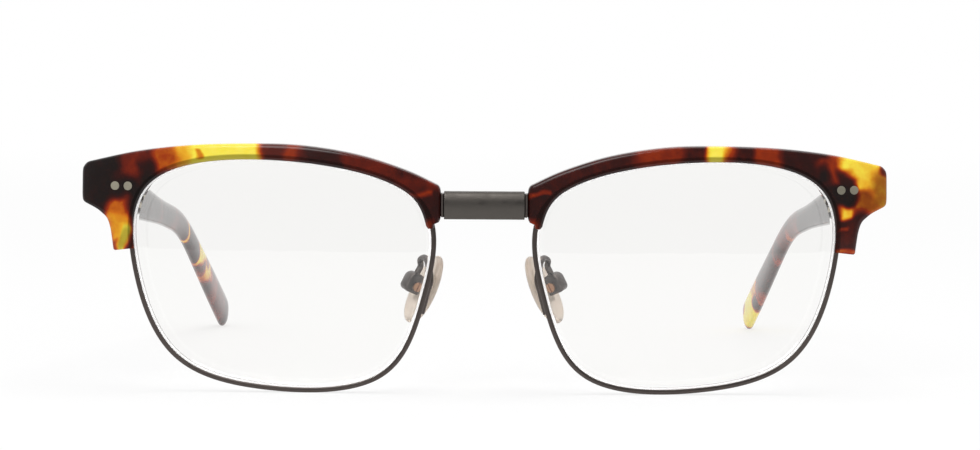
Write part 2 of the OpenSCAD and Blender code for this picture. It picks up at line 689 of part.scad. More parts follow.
// The pad's box is a channel, closed at its upper end, whose mouth faces the pad.
// A screw crosses its two walls.
module pad_box() {
    color("dimgray")
    at_pad() difference() {
        block(about(0, box_long), about(0, box_wide), about(0, box_deep));
        block([box_wall - box_long/2, box_long], about(0, box_wide - 2*box_wall),
            [-box_deep, box_deep/2 - box_wall]);
        along_y([0, -pad_screw_drop], about(0, 2*box_wide), pad_screw_dia + seat_gap);
    }
}
module pad_screw() {
    front = -box_wide/2;
    color("peru")
    at_pad() difference() {
        union() {
            along_y([0, -pad_screw_drop], [front - 0.2, box_wide/2], pad_screw_dia);
            along_y([0, -pad_screw_drop], [front - pad_screw_head.y, front], pad_screw_head.x);
        }
        translate([0, front - pad_screw_head.y, -pad_screw_drop])
            cube([4, 2*slot_deep, slot_wide], center = true);
    }
}

// The insert is a plate inside the pad, with a tongue that the pad screw passes through
module insert_shape(grow) {
    block(about(0, insert_plate.x + 2*grow), about(0, insert_plate.y + 2*grow),
        [insert_top - insert_plate.z - grow, insert_top + grow]);
    block(about(0, tongue_long + 2*grow), about(0, tongue_thick + 2*grow), [insert_top - 0.1, -pad_screw_drop]);
}
module pad_insert() {
    color("silver")
    at_pad() difference() {
        union() {
            insert_shape(0);
            along_y([0, -pad_screw_drop], about(0, tongue_thick), tongue_long);
        }
        along_y([0, -pad_screw_drop], about(0, 2*box_wide), pad_screw_dia + 2*running_gap);
    }
}

// The pad is an egg-shaped cushion, wider at its lower end, with a crowned face towards the nose
pad_sides = 20;
function pad_outline(scale, z) = [
    for (i = [0:pad_sides - 1]) let (a = i*360/pad_sides)
        [scale*pad_length/2*cos(a), scale*pad_width/2*sin(a)*(1 + 0.14*cos(a)), z]];
module nose_pad() {
    color("linen", 0.7)
    at_pad() difference() {
        skin([for (q = [[0.5, -1], [0.78, -0.86], [0.95, -0.6], [1, -0.35], [0.97, -0.12], [0.88, 0]])
            pad_outline(q.x, pad_face + q.y*pad_thick)]);
        insert_shape(seat_gap);
    }
}

translate([0, -middle_y, 0]) bridge_bar();
translate([0, -middle_y, 0]) bridge_cover();
left() brow();  // left_brow
right() brow();  // right_brow
left() rim();  // left_rim
right() rim();  // right_rim
left() lens();  // left_lens
right() lens();  // right_lens
left() rim_lock();  // left_rim_lock
right() rim_lock();  // right_rim_lock
left() rim_screw();  // left_rim_screw
right() rim_screw();  // right_rim_screw
left() brow_screw();  // left_brow_screw
right() brow_screw();  // right_brow_screw
left() pad_arm();  // left_pad_arm
right() pad_arm();  // right_pad_arm
left() pad_box();  // left_pad_box
right() pad_box();  // right_pad_box
left() pad_screw();  // left_pad_screw
right() pad_screw();  // right_pad_screw
left() pad_insert();  // left_pad_insert
right() pad_insert();  // right_pad_insert
left() nose_pad();  // left_nose_pad
right() nose_pad();  // right_nose_pad
left() front_hinge();  // left_front_hinge
right() front_hinge();  // right_front_hinge
left() front_rivets();  // left_front_rivets
right() front_rivets();  // right_front_rivets
left() temple_hinge();  // left_temple_hinge
right() temple_hinge();  // right_temple_hinge
left() temple_rivets();  // left_temple_rivets
right() temple_rivets();  // right_temple_rivets
left() hinge_screw();  // left_hinge_screw
right() hinge_screw();  // right_hinge_screw
left() temple();  // left_temple
right() temple();  // right_temple
left() temple_core();  // left_temple_core
right() temple_core();  // right_temple_core
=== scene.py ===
"""Looks of the browline glasses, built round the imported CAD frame.

Shapes are worked out in the part's own millimetres, for the wearer's left, and put into the frame
by place(). The right side is its mirror image.
"""

import math

import bpy
import numpy as np
from mathutils import Matrix, Vector


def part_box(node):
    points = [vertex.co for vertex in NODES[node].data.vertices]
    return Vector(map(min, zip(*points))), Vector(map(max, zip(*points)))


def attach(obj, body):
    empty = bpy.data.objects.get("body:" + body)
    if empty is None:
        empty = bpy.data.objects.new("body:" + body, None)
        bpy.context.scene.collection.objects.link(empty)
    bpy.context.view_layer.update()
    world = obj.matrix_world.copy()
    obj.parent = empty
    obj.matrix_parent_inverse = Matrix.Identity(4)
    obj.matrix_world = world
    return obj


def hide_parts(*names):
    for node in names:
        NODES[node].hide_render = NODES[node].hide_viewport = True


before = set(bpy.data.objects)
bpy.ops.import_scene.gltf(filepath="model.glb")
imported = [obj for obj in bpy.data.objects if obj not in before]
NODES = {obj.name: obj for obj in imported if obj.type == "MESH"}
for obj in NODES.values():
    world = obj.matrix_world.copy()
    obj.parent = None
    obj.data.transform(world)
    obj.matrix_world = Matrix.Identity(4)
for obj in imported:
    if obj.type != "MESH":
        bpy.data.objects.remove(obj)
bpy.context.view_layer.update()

MM = 0.001
SIDES = {"left": 1, "right": -1}


def box_mm(node):
    low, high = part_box(node)
    return low / MM, high / MM


# Sizes in millimetres. The frame gives the lens's size and the ends of the brow and the bridge cover.
LENS_SEAT = 0.05
RIM_FACE, RIM_DEPTH, RIM_GROOVE, RIM_ROUND = 0.85, 1.8, 0.4, 0.22
GROOVE_HALF, RIM_SOFT = 0.45, 0.1
RIM_SPLIT = 0.08
RIM_OUT = RIM_FACE - RIM_GROOVE
LENS_CURVE, LENS_THICK = 135.0, 1.8
LENS_RIDGE, LENS_BEVEL = 0.4, 0.34
lens_low, lens_high = box_mm("left_lens")
LENS_GAP = 2 * (lens_low.x - LENS_SEAT)
LENS_WIDTH = lens_high.x - lens_low.x + 2 * LENS_SEAT
LENS_HEIGHT = lens_high.z - lens_low.z + 2 * LENS_SEAT
LENS_X = (LENS_GAP + LENS_WIDTH) / 2
LENS_Z = RIM_OUT + LENS_HEIGHT / 2
LENS_TOP = RIM_OUT + LENS_HEIGHT
LENS_OUTER_X = LENS_GAP / 2 + LENS_WIDTH
CURVE_X = LENS_X - 9.3  # where the lens curve stands foremost
SEAT_GAP = 0.06
QUARTER = [math.radians(a) for a in (0, 22.5, 45, 67.5, 90)]  # steps of a rounded corner

BROW_RISE, BROW_FRONT, BROW_REAR, BROW_ROUND = 2.25, 2.6, 1.4, 0.45
END_X = box_mm("left_brow")[1].x
BRIDGE_Z = LENS_TOP - 8.2
HINGE_Z = LENS_TOP - 5.35
LOCK_Z = LENS_TOP - 13.35
LOCK_HEIGHT, LOCK_WIDTH = 4.9, 1.8
LOCK_X = LENS_OUTER_X + RIM_OUT + 0.02
BAR_HEIGHT, BAR_DEPTH = 4.1, 1.4
NASAL_X = LENS_GAP / 2 - 1.25
BAR_END_X = LENS_GAP / 2 + 3.45
TIP_Z = BRIDGE_Z - 4
TIP_LAP = 0.6
LEG_Z = LOCK_Z - LOCK_HEIGHT / 2 - 0.8
LEG_X = LENS_OUTER_X + RIM_OUT + LOCK_WIDTH + 0.85
LIP_GAP = 0.04
LIP_DEPTH = -RIM_DEPTH / 2 - SEAT_GAP - LIP_GAP
BUTT_BEHIND = 0.57  # how far the end piece's back lies behind the lens curve

TEMPLE_THICK, TEMPLE_HEIGHT = 3.6, 7.2
WAIST_THICK, WAIST_HEIGHT, TIP_HEIGHT = 2.4, 4.8, 6.6
BEND_DISTANCE, DROP_LENGTH, BEND_LENGTH = 93.0, 52.0, 30.0
HINGE_FALL, TEMPLE_FALL, TEMPLE_TOE, DROP_TOE = 5.6, 7.6, 5.1, 7.0
HINGE_PART, FALL_LENGTH = 10.0, 26.0
TEMPLE_GAP = 0.1
TEMPLE_LENGTH = BEND_DISTANCE + DROP_LENGTH
EDGE_ROUND, TIP_ROUND = 0.9, 3.4
TEMPLE_STEPS, FIRST_DROP = 145, 30.0
CORE_START, CORE_END_GAP, CORE_WIDE, CORE_TALL, CORE_TAPER = 13.0, 9.0, 1.1, 2.2, 0.65
FRONT_FOOT = 0.76  # share of its lower half that a temple has where it meets the end piece
LEAF_LET_IN, LEAF_LENGTH, HINGE_HEIGHT = 0.5, 10.3, 5.0

PAD_LENGTH, PAD_WIDTH, PAD_THICK = 13.0, 7.4, 2.0
PAD_LEAN, PAD_SPLAY = 25.5, 29.0
BOX_TOP, BOX_FOOT, BOX_MOUTH, BOX_ROOF, BOX_WIDE, BOX_WALL = -2.15, 1.45, -1.2, 1.8, 2.6, 0.5
PAD_GAP = 0.45
BOX_MIDDLE = Vector((LENS_GAP / 2 + 3.6, 7, BRIDGE_Z - 14.4))
ARM_END, ARM_END_RISE, ARM_R = BOX_TOP - 0.02, 0.25, 0.55
FOOT_OUT = RIM_OUT - 0.1

COVER_FRONT_Y = -1.9
COVER_CROWN, COVER_BEVEL, COVER_WALL, COVER_FLANGE = 0.34, 0.35, 0.6, 0.3
BAR_INSIDE, BAR_SHOULDER = COVER_FRONT_Y + 0.66, COVER_FRONT_Y + 0.2
METAL_EDGE, BAR_EDGE, COVER_EDGE = 0.09, 0.12, 0.1
MIDDLE_Y = COVER_FRONT_Y - box_mm("bridge_cover")[0].y


# Curves that the part's source has too


def mix(a, b, k):
    return a + (b - a) * k


def smooth(k):
    k = min(1.0, max(0.0, k))
    return k * k * (3 - 2 * k)


def through(points, t):
    """The point at t, from 0 to 1, on a smooth curve through every point."""
    n = len(points) - 1
    s = min(1.0, max(0.0, t)) * n
    i = min(int(s), n - 1)
    f = s - i
    b, c = points[i], points[i + 1]
    a = points[i - 1] if i else 2 * b - c
    d = points[i + 2] if i + 2 <= n else 2 * c - b
    return b + f * ((c - a) / 2 + f * (a - 2.5 * b + 2 * c - d / 2 + f * (1.5 * (b - c) + (d - a) / 2)))


def vectors(pairs):
    return [Vector(p) for p in pairs]


# Control points of the lens's outline, drawn at about its real size
LENS_DRAW = vectors(
    [(26.5, 0.5), (27.5, 17), (8.5, 22), (-30, 17), (-25, -4.5), (-20, -20.5), (3.5, -20.5), (20.5, -16.5)]
)


def loop_spline(t):
    """The point at t, in turns, on the closed cubic B-spline that draws a lens."""
    n = len(LENS_DRAW)
    s = (t % 1.0) * n
    i = int(s) % n
    f = s - int(s)
    p = [LENS_DRAW[(i + k - 1) % n] for k in range(4)]
    return (
        (1 - f) ** 3 * p[0]
        + (3 * f**3 - 6 * f * f + 4) * p[1]
        + (3 * f * (1 + f - f * f) + 1) * p[2]
        + f**3 * p[3]
    ) / 6


drawn = [loop_spline(i / 72) for i in range(72)]
drawn_low = Vector((min(p.x for p in drawn), min(p.y for p in drawn)))
drawn_high = Vector((max(p.x for p in drawn), max(p.y for p in drawn)))
drawn_size = drawn_high - drawn_low


def edge(t):
    """A point of the lens's edge, at t turns from its outer side over the top, as (x, z)."""
    p = loop_spline(t) - (drawn_low + drawn_high) / 2
    return Vector((LENS_X + p.x * LENS_WIDTH / drawn_size.x, LENS_Z + p.y * LENS_HEIGHT / drawn_size.y))


def edge_normal(t):
    d = edge(t + 0.001) - edge(t - 0.001)
    return Vector((d.y, -d.x)).normalized()


def edge_out(t, out):
    return edge(t) + out * edge_normal(t)


def sag(p):
    """How far the lens curve lies behind its foremost point, at (x, z)."""
    return LENS_CURVE - math.sqrt(LENS_CURVE**2 - (p.x - CURVE_X) ** 2 - (p.y - LENS_Z) ** 2)


BAR_Y = sag(Vector((LENS_GAP / 2 - 0.95, BRIDGE_Z))) + LIP_DEPTH + 0.15
BUTT_Y = sag(Vector((END_X, HINGE_Z))) + BUTT_BEHIND
TEMPLE_Y = BUTT_Y + TEMPLE_GAP
TEMPLE_START = Vector((END_X - TEMPLE_THICK / 2, TEMPLE_Y, HINGE_Z - 0.2))


def on_curve(p, depth):
    return Vector((p.x, sag(p) + depth, p.y))


def turn_at(z, side):
    """The turn at which the lens's edge stands at height z, on its outer or its nasal side."""
    turns = [i / 4000 - 0.25 for i in range(4000)]
    return min((t for t in turns if (edge(t).x - LENS_X) * side > 0), key=lambda t: abs(edge(t).y - z))


# Meshes


def skin(rings, tips=()):
    """Points and faces of a solid skinned over rings, and capped or ended in two tips."""
    n, m = len(rings), len(rings[0])
    points = [p for ring in rings for p in ring]
    faces = [
        (j * m + i, j * m + (i + 1) % m, (j + 1) * m + (i + 1) % m, (j + 1) * m + i)
        for j in range(n - 1)
        for i in range(m)
    ]
    if tips:
        points += list(tips)
        faces += [(n * m, (i + 1) % m, i) for i in range(m)]
        faces += [(n * m + 1, (n - 1) * m + i, (n - 1) * m + (i + 1) % m) for i in range(m)]
    else:
        faces += [tuple(reversed(range(m))), tuple(range((n - 1) * m, n * m))]
    return points, faces


def place(p, side):
    """A point of the wearer's left in millimetres, in the frame."""
    return Vector((side * p.x, p.y - MIDDLE_Y, p.z)) * MM


def new_object(name, solid, side):
    points, faces = solid
    if side < 0:
        faces = [tuple(reversed(f)) for f in faces]
    mesh = bpy.data.meshes.new(name)
    mesh.from_pydata([place(p, side) for p in points], [], faces)
    obj = bpy.data.objects.new(name, mesh)
    bpy.context.scene.collection.objects.link(obj)
    return obj


def block(x, y, z):
    """A box between two values on each axis, as points and faces."""
    points = [Vector((a, b, c)) for c in z for b in y for a in x]
    faces = [(0, 2, 3, 1), (4, 5, 7, 6), (0, 1, 5, 4), (2, 6, 7, 3), (0, 4, 6, 2), (1, 3, 7, 5)]
    return points, faces


def cut(obj, cutters, side):
    """Takes solids out of an object's mesh for good."""
    for solid in cutters:
        cutter = new_object("cutter", solid, side)
        boolean = obj.modifiers.new("cut", "BOOLEAN")
        boolean.operation, boolean.solver, boolean.object = "DIFFERENCE", "EXACT", cutter
        shaped = obj.evaluated_get(bpy.context.evaluated_depsgraph_get())
        mesh = bpy.data.meshes.new_from_object(shaped)
        obj.modifiers.clear()
        obj.data = mesh
        bpy.data.objects.remove(cutter)


def finish_piece(obj, body, material, node, sharp=35):
    """Shades a piece, gives it its material, ties it to its body and hides the CAD node that it stands in
    for.
    """
    obj.data.shade_smooth()
    obj.data.set_sharp_from_angle(angle=math.radians(sharp))
    obj.data.materials.clear()
    obj.data.materials.append(material)
    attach(obj, body)
    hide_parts(node)
    return obj


# Brow


def above_lens(u, rise):
    return (LENS_X + u * LENS_WIDTH / 2, LENS_TOP + rise)


def brow_outline():
    """The brow's outer outline, from its nasal tip over the top to the bottom of the leg."""
    nasal_end = vectors(
        [
            (NASAL_X + 0.35, BRIDGE_Z - 2.95),
            (NASAL_X, BRIDGE_Z - 2.3),
            (NASAL_X, BRIDGE_Z + 0.2),
            (NASAL_X, BRIDGE_Z + 2.6),
        ]
    )
    top = vectors(
        [
            (NASAL_X + 0.4, BRIDGE_Z + 3.4),
            above_lens(-0.82, BROW_RISE - 4.45),
            above_lens(-0.52, BROW_RISE - 1.9),
            above_lens(-0.19, BROW_RISE - 0.4),
            above_lens(0.12, BROW_RISE),
            above_lens(0.58, BROW_RISE - 0.35),
            above_lens(0.96, BROW_RISE - 1.55),
            (END_X - 0.9, HINGE_Z + 4.1),
        ]
    )
    end = vectors(
        [
            (END_X - 0.25, HINGE_Z + 3.4),
            (END_X, HINGE_Z + 2.8),
            (END_X, HINGE_Z + 0.5),
            (END_X, HINGE_Z - 2.4),
        ]
    )
    leg = vectors(
        [
            (END_X - 0.4, HINGE_Z - 2.95),
            (END_X - 2.5, HINGE_Z - 4),
            (END_X - 3.6, HINGE_Z - 4.8),
            (LEG_X + 1.1, LOCK_Z + 2.3),
            (LEG_X + 0.55, LOCK_Z + 0.8),
            (LEG_X + 0.25, LOCK_Z - 0.9),
            (LEG_X, LEG_Z + 0.6),
        ]
    )
    leg_end = vectors([(LEG_X - 0.05, LEG_Z + 0.2), (LEG_X - 0.3, LEG_Z)])
    points = (
        nasal_end
        + [through(top, i / 66) for i in range(67)]
        + end
        + [through(leg, i / 24) for i in range(25)]
        + leg_end
    )
    return softened(softened(points))


def softened(points):
    """The same open line with each corner cut once."""
    line = [points[0]]
    for a, b in zip(points, points[1:]):
        line += [mix(a, b, 0.25), mix(a, b, 0.75)]
    return line + [points[-1]]


def brow_back(p, out):
    """Depth of the brow's back face at p. It is flat at the end piece and fades out at the nasal tip."""
    flat = smooth((p.x - END_X + 14) / 4) * smooth((p.y - HINGE_Z + 4.2) / 1.8)
    full = mix(sag(p) + BROW_REAR, BUTT_Y, flat)
    return mix(sag(p) + LIP_DEPTH + 0.05, full, smooth((out - 0.9) / 1))


def brow_section(t, inner_out, outer):
    """A ring across the brow, from the lens side at t to the point outer."""
    normal = edge_normal(t)
    inner = edge_out(t, inner_out)
    out = (outer - edge(t)).dot(normal)
    corner = edge_out(t, min(RIM_OUT + SEAT_GAP + 0.04, out - 0.25))
    length = (outer - inner).length
    along = (outer - inner) / length
    r = min(BROW_ROUND, length / 3)
    band = min(RIM_OUT - inner_out, length - r - 0.3)
    spans = [band - 0.12, band + 0.12] + [mix(band + 0.12, length - r, k) for k in (0.2, 0.4, 0.6, 0.8)]
    across = [(r - r * math.cos(a), r - r * math.sin(a)) for a in QUARTER]
    across += [(max(r + 0.02, s), 0.0) for s in spans]
    across += [(length - r + r * math.sin(a), r - r * math.cos(a)) for a in QUARTER]
    ring = [on_curve(corner, LIP_DEPTH), on_curve(inner, LIP_DEPTH)]
    ring += [on_curve(inner + u * along, d - BROW_FRONT) for u, d in across]
    back = brow_back(outer, out)
    r_back = min(BROW_ROUND, (back - sag(outer) - LIP_DEPTH) / 3)
    for a in QUARTER:
        p = outer - r_back * (1 - math.cos(a)) * along
        depth = brow_back(p, out) - r_back * (1 - math.sin(a))
        ring.append(Vector((p.x, depth, p.y)))
    ring.append(Vector((corner.x, brow_back(corner, out), corner.y)))
    return ring


def brow_solid():
    turns = [i / 4000 - 0.08 for i in range(2561)]
    points = [edge(t) for t in turns]
    xs = np.array([[p.x, p.y] for p in points])

    def nearest_turn(q):
        return turns[int(((xs - (q.x, q.y)) ** 2).sum(1).argmin())]

    def lap(p):
        return 0.1 + (TIP_LAP - 0.1) * (smooth((BRIDGE_Z + 2.9 - p.y) / 6) if p.x < LENS_X else 0)

    t = turn_at(TIP_Z, -1)
    rings = [
        brow_section(t, -RIM_GROOVE - TIP_LAP + 0.3, edge_out(t, RIM_OUT - 0.3)),
        brow_section(t - 0.004, -RIM_GROOVE - TIP_LAP, edge_out(t - 0.004, RIM_OUT)),
    ]
    for q in brow_outline():
        t = nearest_turn(q)
        rings.append(brow_section(t, -RIM_GROOVE - lap(edge(t)), q))
    return skin(rings)


def paint_brow(obj):
    """Marks how much of the rim lies behind each point of a brow, for the painted shade that its material
    puts there.
    """
    turns = [i / 2000 - 0.1 for i in range(1200)]
    places = np.array([edge(t)[:] for t in turns])
    normals = np.array([edge_normal(t)[:] for t in turns])
    co = np.empty(len(obj.data.vertices) * 3)
    obj.data.vertices.foreach_get("co", co)
    flat = co.reshape(-1, 3)[:, (0, 2)] / MM
    flat[:, 0] = abs(flat[:, 0])
    nearest = ((flat[:, None, :] - places[None]) ** 2).sum(2).argmin(1)
    out = ((flat - places[nearest]) * normals[nearest]).sum(1)
    rim_shade_amount = 1 - np.clip((out - RIM_OUT + 0.08) / 0.2, 0, 1)
    obj.data.attributes.new("rim_behind", "FLOAT", "POINT").data.foreach_set("value", rim_shade_amount)


def make_brow(side_name, material):
    side = SIDES[side_name]
    obj = new_object(side_name + "_brow_acetate", brow_solid(), side)
    lock_y = sag(Vector((LOCK_X, LOCK_Z))) - RIM_DEPTH / 2
    leaf_x = box_mm("left_front_hinge")[0].x
    half_bar, half_leaf = BAR_HEIGHT / 2 + SEAT_GAP, HINGE_HEIGHT / 2 + SEAT_GAP
    lock_pocket = block(
        (LOCK_X - 1, LOCK_X + LOCK_WIDTH + SEAT_GAP),
        (lock_y - SEAT_GAP, BUTT_Y),
        (LEG_Z - 1, LOCK_Z + LOCK_HEIGHT / 2 + SEAT_GAP),
    )
    bar_pocket = block(
        (NASAL_X - 1, BAR_END_X + SEAT_GAP),
        (BAR_Y - SEAT_GAP, BUTT_Y),
        (BRIDGE_Z - half_bar, BRIDGE_Z + half_bar),
    )
    leaf_recess = block(
        (leaf_x - SEAT_GAP, END_X - TEMPLE_THICK),
        (BUTT_Y - LEAF_LET_IN, BUTT_Y + 1),
        (HINGE_Z - half_leaf, HINGE_Z + half_leaf),
    )
    cut(obj, [lock_pocket, bar_pocket, leaf_recess], side)
    paint_brow(obj)
    return finish_piece(obj, "front", material, side_name + "_brow")


# Rim and lens


def rim_section():
    """The rim's section as (out from the lens's edge, depth), with its outer corners rounded."""
    r, half = RIM_ROUND, RIM_DEPTH / 2
    front = [(RIM_OUT - r + r * math.sin(a), r - half - r * math.cos(a)) for a in QUARTER]
    back = [(x, -y) for x, y in reversed(front)]
    soft = RIM_SOFT
    return (
        [(0, 0), (-RIM_GROOVE, -GROOVE_HALF), (-RIM_GROOVE, soft - half), (soft - RIM_GROOVE, -half)]
        + front
        + back
        + [(soft - RIM_GROOVE, half), (-RIM_GROOVE, half - soft), (-RIM_GROOVE, GROOVE_HALF)]
    )


def make_rim(side_name, material):
    steps = 240
    start, end = turn_at(LOCK_Z + RIM_SPLIT / 2, 1), turn_at(LOCK_Z - RIM_SPLIT / 2, 1) + 1
    rings = [
        [on_curve(edge_out(mix(start, end, i / steps), x), y) for x, y in rim_section()]
        for i in range(steps + 1)
    ]
    obj = new_object(side_name + "_rim_wire", skin(rings), SIDES[side_name])
    return finish_piece(obj, "front", material, side_name + "_rim", 50)


def make_lens(side_name, material, edge_material):
    """A meniscus lens with a ridge in the rim's groove and a fine safety bevel round both faces."""
    steps, half, shoulder = 240, LENS_THICK / 2, RIM_GROOVE + LENS_SEAT
    ridge, bevel = LENS_RIDGE, LENS_BEVEL
    middle = Vector((LENS_X, LENS_Z))

    def loop(scale, inset, depth):
        return [on_curve(mix(middle, edge_out(i / steps, -inset), scale), depth) for i in range(steps)]

    face = [k / 8 for k in range(1, 8)]
    rings = [loop(k, shoulder + bevel, -half) for k in face + [1]]
    rings += [
        loop(1, shoulder, bevel - half),
        loop(1, shoulder, -ridge),
        loop(1, LENS_SEAT, 0),
        loop(1, shoulder, ridge),
        loop(1, shoulder, half - bevel),
    ]
    rings += [loop(k, shoulder + bevel, half) for k in [1] + face[::-1]]
    solid = skin(rings, tips=(on_curve(middle, -half), on_curve(middle, half)))
    obj = new_object(side_name + "_lens_glass", solid, SIDES[side_name])
    finish_piece(obj, "front", material, side_name + "_lens", 25)
    obj.data.materials.append(edge_material)
    first, last = len(face), len(rings) - len(face) - 2
    for polygon in obj.data.polygons[first * steps : last * steps]:
        polygon.material_index = 1
    return obj


# Temple


def bent(s):
    """The share of the ear bend that is done at s along the temple."""
    return smooth((s - BEND_DISTANCE + BEND_LENGTH / 2) / BEND_LENGTH)


def temple_axes(s, drop):
    """Ahead, up and side of the temple at s along it."""
    straight = mix(HINGE_FALL, TEMPLE_FALL, smooth((s - HINGE_PART) / FALL_LENGTH))
    f = math.radians(mix(straight, drop, bent(s)))
    t = math.radians(mix(TEMPLE_TOE, DROP_TOE, bent(s)))
    return (
        Vector((-math.sin(t) * math.cos(f), math.cos(t) * math.cos(f), -math.sin(f))),
        Vector((-math.sin(t) * math.sin(f), math.cos(t) * math.sin(f), math.cos(f))),
        Vector((math.cos(t), math.sin(t), 0)),
    )


def temple_tall(s):
    if s < BEND_DISTANCE:
        return mix(TEMPLE_HEIGHT, WAIST_HEIGHT, smooth((s / BEND_DISTANCE - 0.35) / 0.45))
    return mix(WAIST_HEIGHT, TIP_HEIGHT, smooth((s - BEND_DISTANCE) / (DROP_LENGTH - 8)))


def temple_wide(s):
    return mix(TEMPLE_THICK, WAIST_THICK, smooth(s / BEND_DISTANCE))


def oblong(wide, tall, rx, rz):
    """The outline of an oblong with rounded corners, as (across, up) from its middle."""
    ring = []
    for sx, sz, turn in ((1, 1, 0), (-1, 1, 90), (-1, -1, 180), (1, -1, 270)):
        for a in (0, 18, 36, 54, 72, 90):
            angle = math.radians(turn + a)
            across = sx * (wide / 2 - rx) + rx * math.cos(angle)
            ring.append((across, sz * (tall / 2 - rz) + rz * math.sin(angle)))
    return ring


def temple_line(drop, steps):
    """The temple's middle line as a function of the length along it."""
    length = TEMPLE_LENGTH / steps
    line = [TEMPLE_START]
    for i in range(steps):
        line.append(line[-1] + length * temple_axes((i + 0.5) * length, drop)[0])

    def middle(s):
        i = min(int(s / length), steps - 1)
        return mix(line[i], line[i + 1], s / length - i)

    return middle


def temple_rings(drop, steps):
    length = TEMPLE_LENGTH / steps
    middle_at = temple_line(drop, steps)

    def ring(s):
        middle = middle_at(s)
        _, up, side = temple_axes(s, drop)
        k = max(0.0, s - TEMPLE_LENGTH + TIP_ROUND) / TIP_ROUND
        k = math.sqrt(1 - k * k)
        wide, tall = temple_wide(s) * mix(1, k, 0.7), temple_tall(s) * mix(1, k, 0.8)
        soft = smooth(s / BEND_DISTANCE)
        square = min(EDGE_ROUND, wide / 3)
        section = oblong(wide, tall, mix(square, 0.48 * wide, soft), mix(square, 0.42 * tall, soft))
        low = mix(FRONT_FOOT, 1, smooth(s / HINGE_PART))
        return [middle + x * side + z * (low if z < 0 else 1) * up for x, z in section]

    ahead = temple_axes(0, drop)[0]
    first = [p + ahead * ((TEMPLE_Y - p.y) / ahead.y) for p in ring(0)]
    stops = [i * length for i in range(1, steps) if i * length < TEMPLE_LENGTH - TIP_ROUND]
    tip = [TEMPLE_LENGTH - TIP_ROUND * (1 - math.sin(math.radians(a))) for a in range(0, 86, 6)]
    return [first] + [ring(s) for s in stops] + [ring(s) for s in tip]


def make_temple(side_name, material):
    """Makes a temple and returns the fall of its end, set so that the tip rests on the floor."""
    drop = FIRST_DROP
    for _ in range(4):
        low = min(p.z for ring in temple_rings(drop, 36) for p in ring)
        drop += math.degrees(low / (DROP_LENGTH * math.cos(math.radians(drop))))
    solid = skin(temple_rings(drop, TEMPLE_STEPS))
    obj = new_object(side_name + "_temple_acetate", solid, SIDES[side_name])
    ahead, up, side = temple_axes(0, drop)
    corner = TEMPLE_START - TEMPLE_THICK / 2 * side
    half = HINGE_HEIGHT / 2 + SEAT_GAP
    points, faces = block((-1, LEAF_LET_IN), (-1, LEAF_LENGTH + SEAT_GAP), (-half, half))
    recess = [corner + p.x * side + p.y * ahead + p.z * up for p in points], faces
    cut(obj, [recess], SIDES[side_name])
    finish_piece(obj, side_name + "_temple", material, side_name + "_temple")
    return drop


def make_core(side_name, drop, material):
    """The flat wire inside a temple's acetate."""
    steps, end = 60, TEMPLE_LENGTH - CORE_END_GAP
    middle_at = temple_line(drop, TEMPLE_STEPS)
    corners = ((0.5, 1 / 3), (0.25, 0.5), (-0.25, 0.5), (-0.5, 1 / 3))
    corners += tuple((x, -z) for x, z in reversed(corners))

    def ring(k):
        s = mix(CORE_START, end, k)
        _, up, side = temple_axes(s, drop)
        wide, tall = (size * mix(1, CORE_TAPER, k) for size in (CORE_WIDE, CORE_TALL))
        return [middle_at(s) + x * wide * side + z * tall * up for x, z in corners]

    rings = [ring(i / steps) for i in range(steps + 1)]
    obj = new_object(side_name + "_core_wire", skin(rings), SIDES[side_name])
    return finish_piece(obj, side_name + "_temple", material, side_name + "_temple_core", 50)


# Bridge


def prism(outline, low, high):
    """A solid between two heights over an outline of (x, y)."""
    return skin([[Vector((x, y, z)) for x, y in outline] for z in (low, high)])


def soften_edges(obj, width, angle=40):
    bevel = obj.modifiers.new("soft edges", "BEVEL")
    bevel.width = width * MM
    bevel.segments = 2
    bevel.limit_method = "ANGLE"
    bevel.angle_limit = math.radians(angle)
    bevel.harden_normals = True


def make_bar(material):
    """The bar, with a shoulder beside each end of its cover, cut off at the rims' outline."""
    block_x = box_mm("bridge_cover")[1].x + 0.1
    shoulder_x, back = NASAL_X - 0.04, BAR_Y + BAR_DEPTH
    half = [
        (block_x, BAR_INSIDE),
        (block_x, BAR_SHOULDER),
        (shoulder_x, BAR_SHOULDER),
        (shoulder_x, BAR_Y),
        (BAR_END_X, BAR_Y),
        (BAR_END_X, back),
    ]
    outline = half[::-1] + [(-x, y) for x, y in half]
    low, high = BRIDGE_Z - BAR_HEIGHT / 2, BRIDGE_Z + BAR_HEIGHT / 2
    obj = new_object("bridge_bar_metal", prism(outline, low, high), 1)
    rim_line = [edge_out(i / 120, RIM_OUT + 0.05) for i in range(120)]
    inside_rim = skin([[Vector((p.x, y, p.y)) for p in rim_line] for y in (back + 1, BAR_INSIDE - 1)])
    for side in SIDES.values():
        cut(obj, [inside_rim], side)
    soften_edges(obj, BAR_EDGE)
    return finish_piece(obj, "front", material, "bridge_bar")


def make_cover(material):
    """A clip round the bar, with a front that is crowned from edge to edge."""
    low, high = box_mm("bridge_cover")
    half, depth = (high.z - low.z) / 2, high.y - low.y
    crown, bevel, flange = COVER_CROWN, COVER_BEVEL, COVER_FLANGE
    front = [(crown * k * k, k * (half - bevel)) for k in (i / 6 for i in range(-6, 7))]
    top = [(crown + 0.4 * bevel, half - 0.3 * bevel), (crown + bevel, half), (depth, half)]
    top += [(depth, half - flange), (COVER_WALL, half - flange)]
    section = front + top + [(y, -z) for y, z in reversed(top)]
    rings = [
        [Vector((x, COVER_FRONT_Y + y, BRIDGE_Z + z)) for y, z in section] for x in (low.x, high.x)
    ]
    obj = new_object("bridge_cover_metal", skin(rings), 1)
    soften_edges(obj, COVER_EDGE)
    return finish_piece(obj, "front", material, "bridge_cover", 30)


# Nose pad, its box and its arm

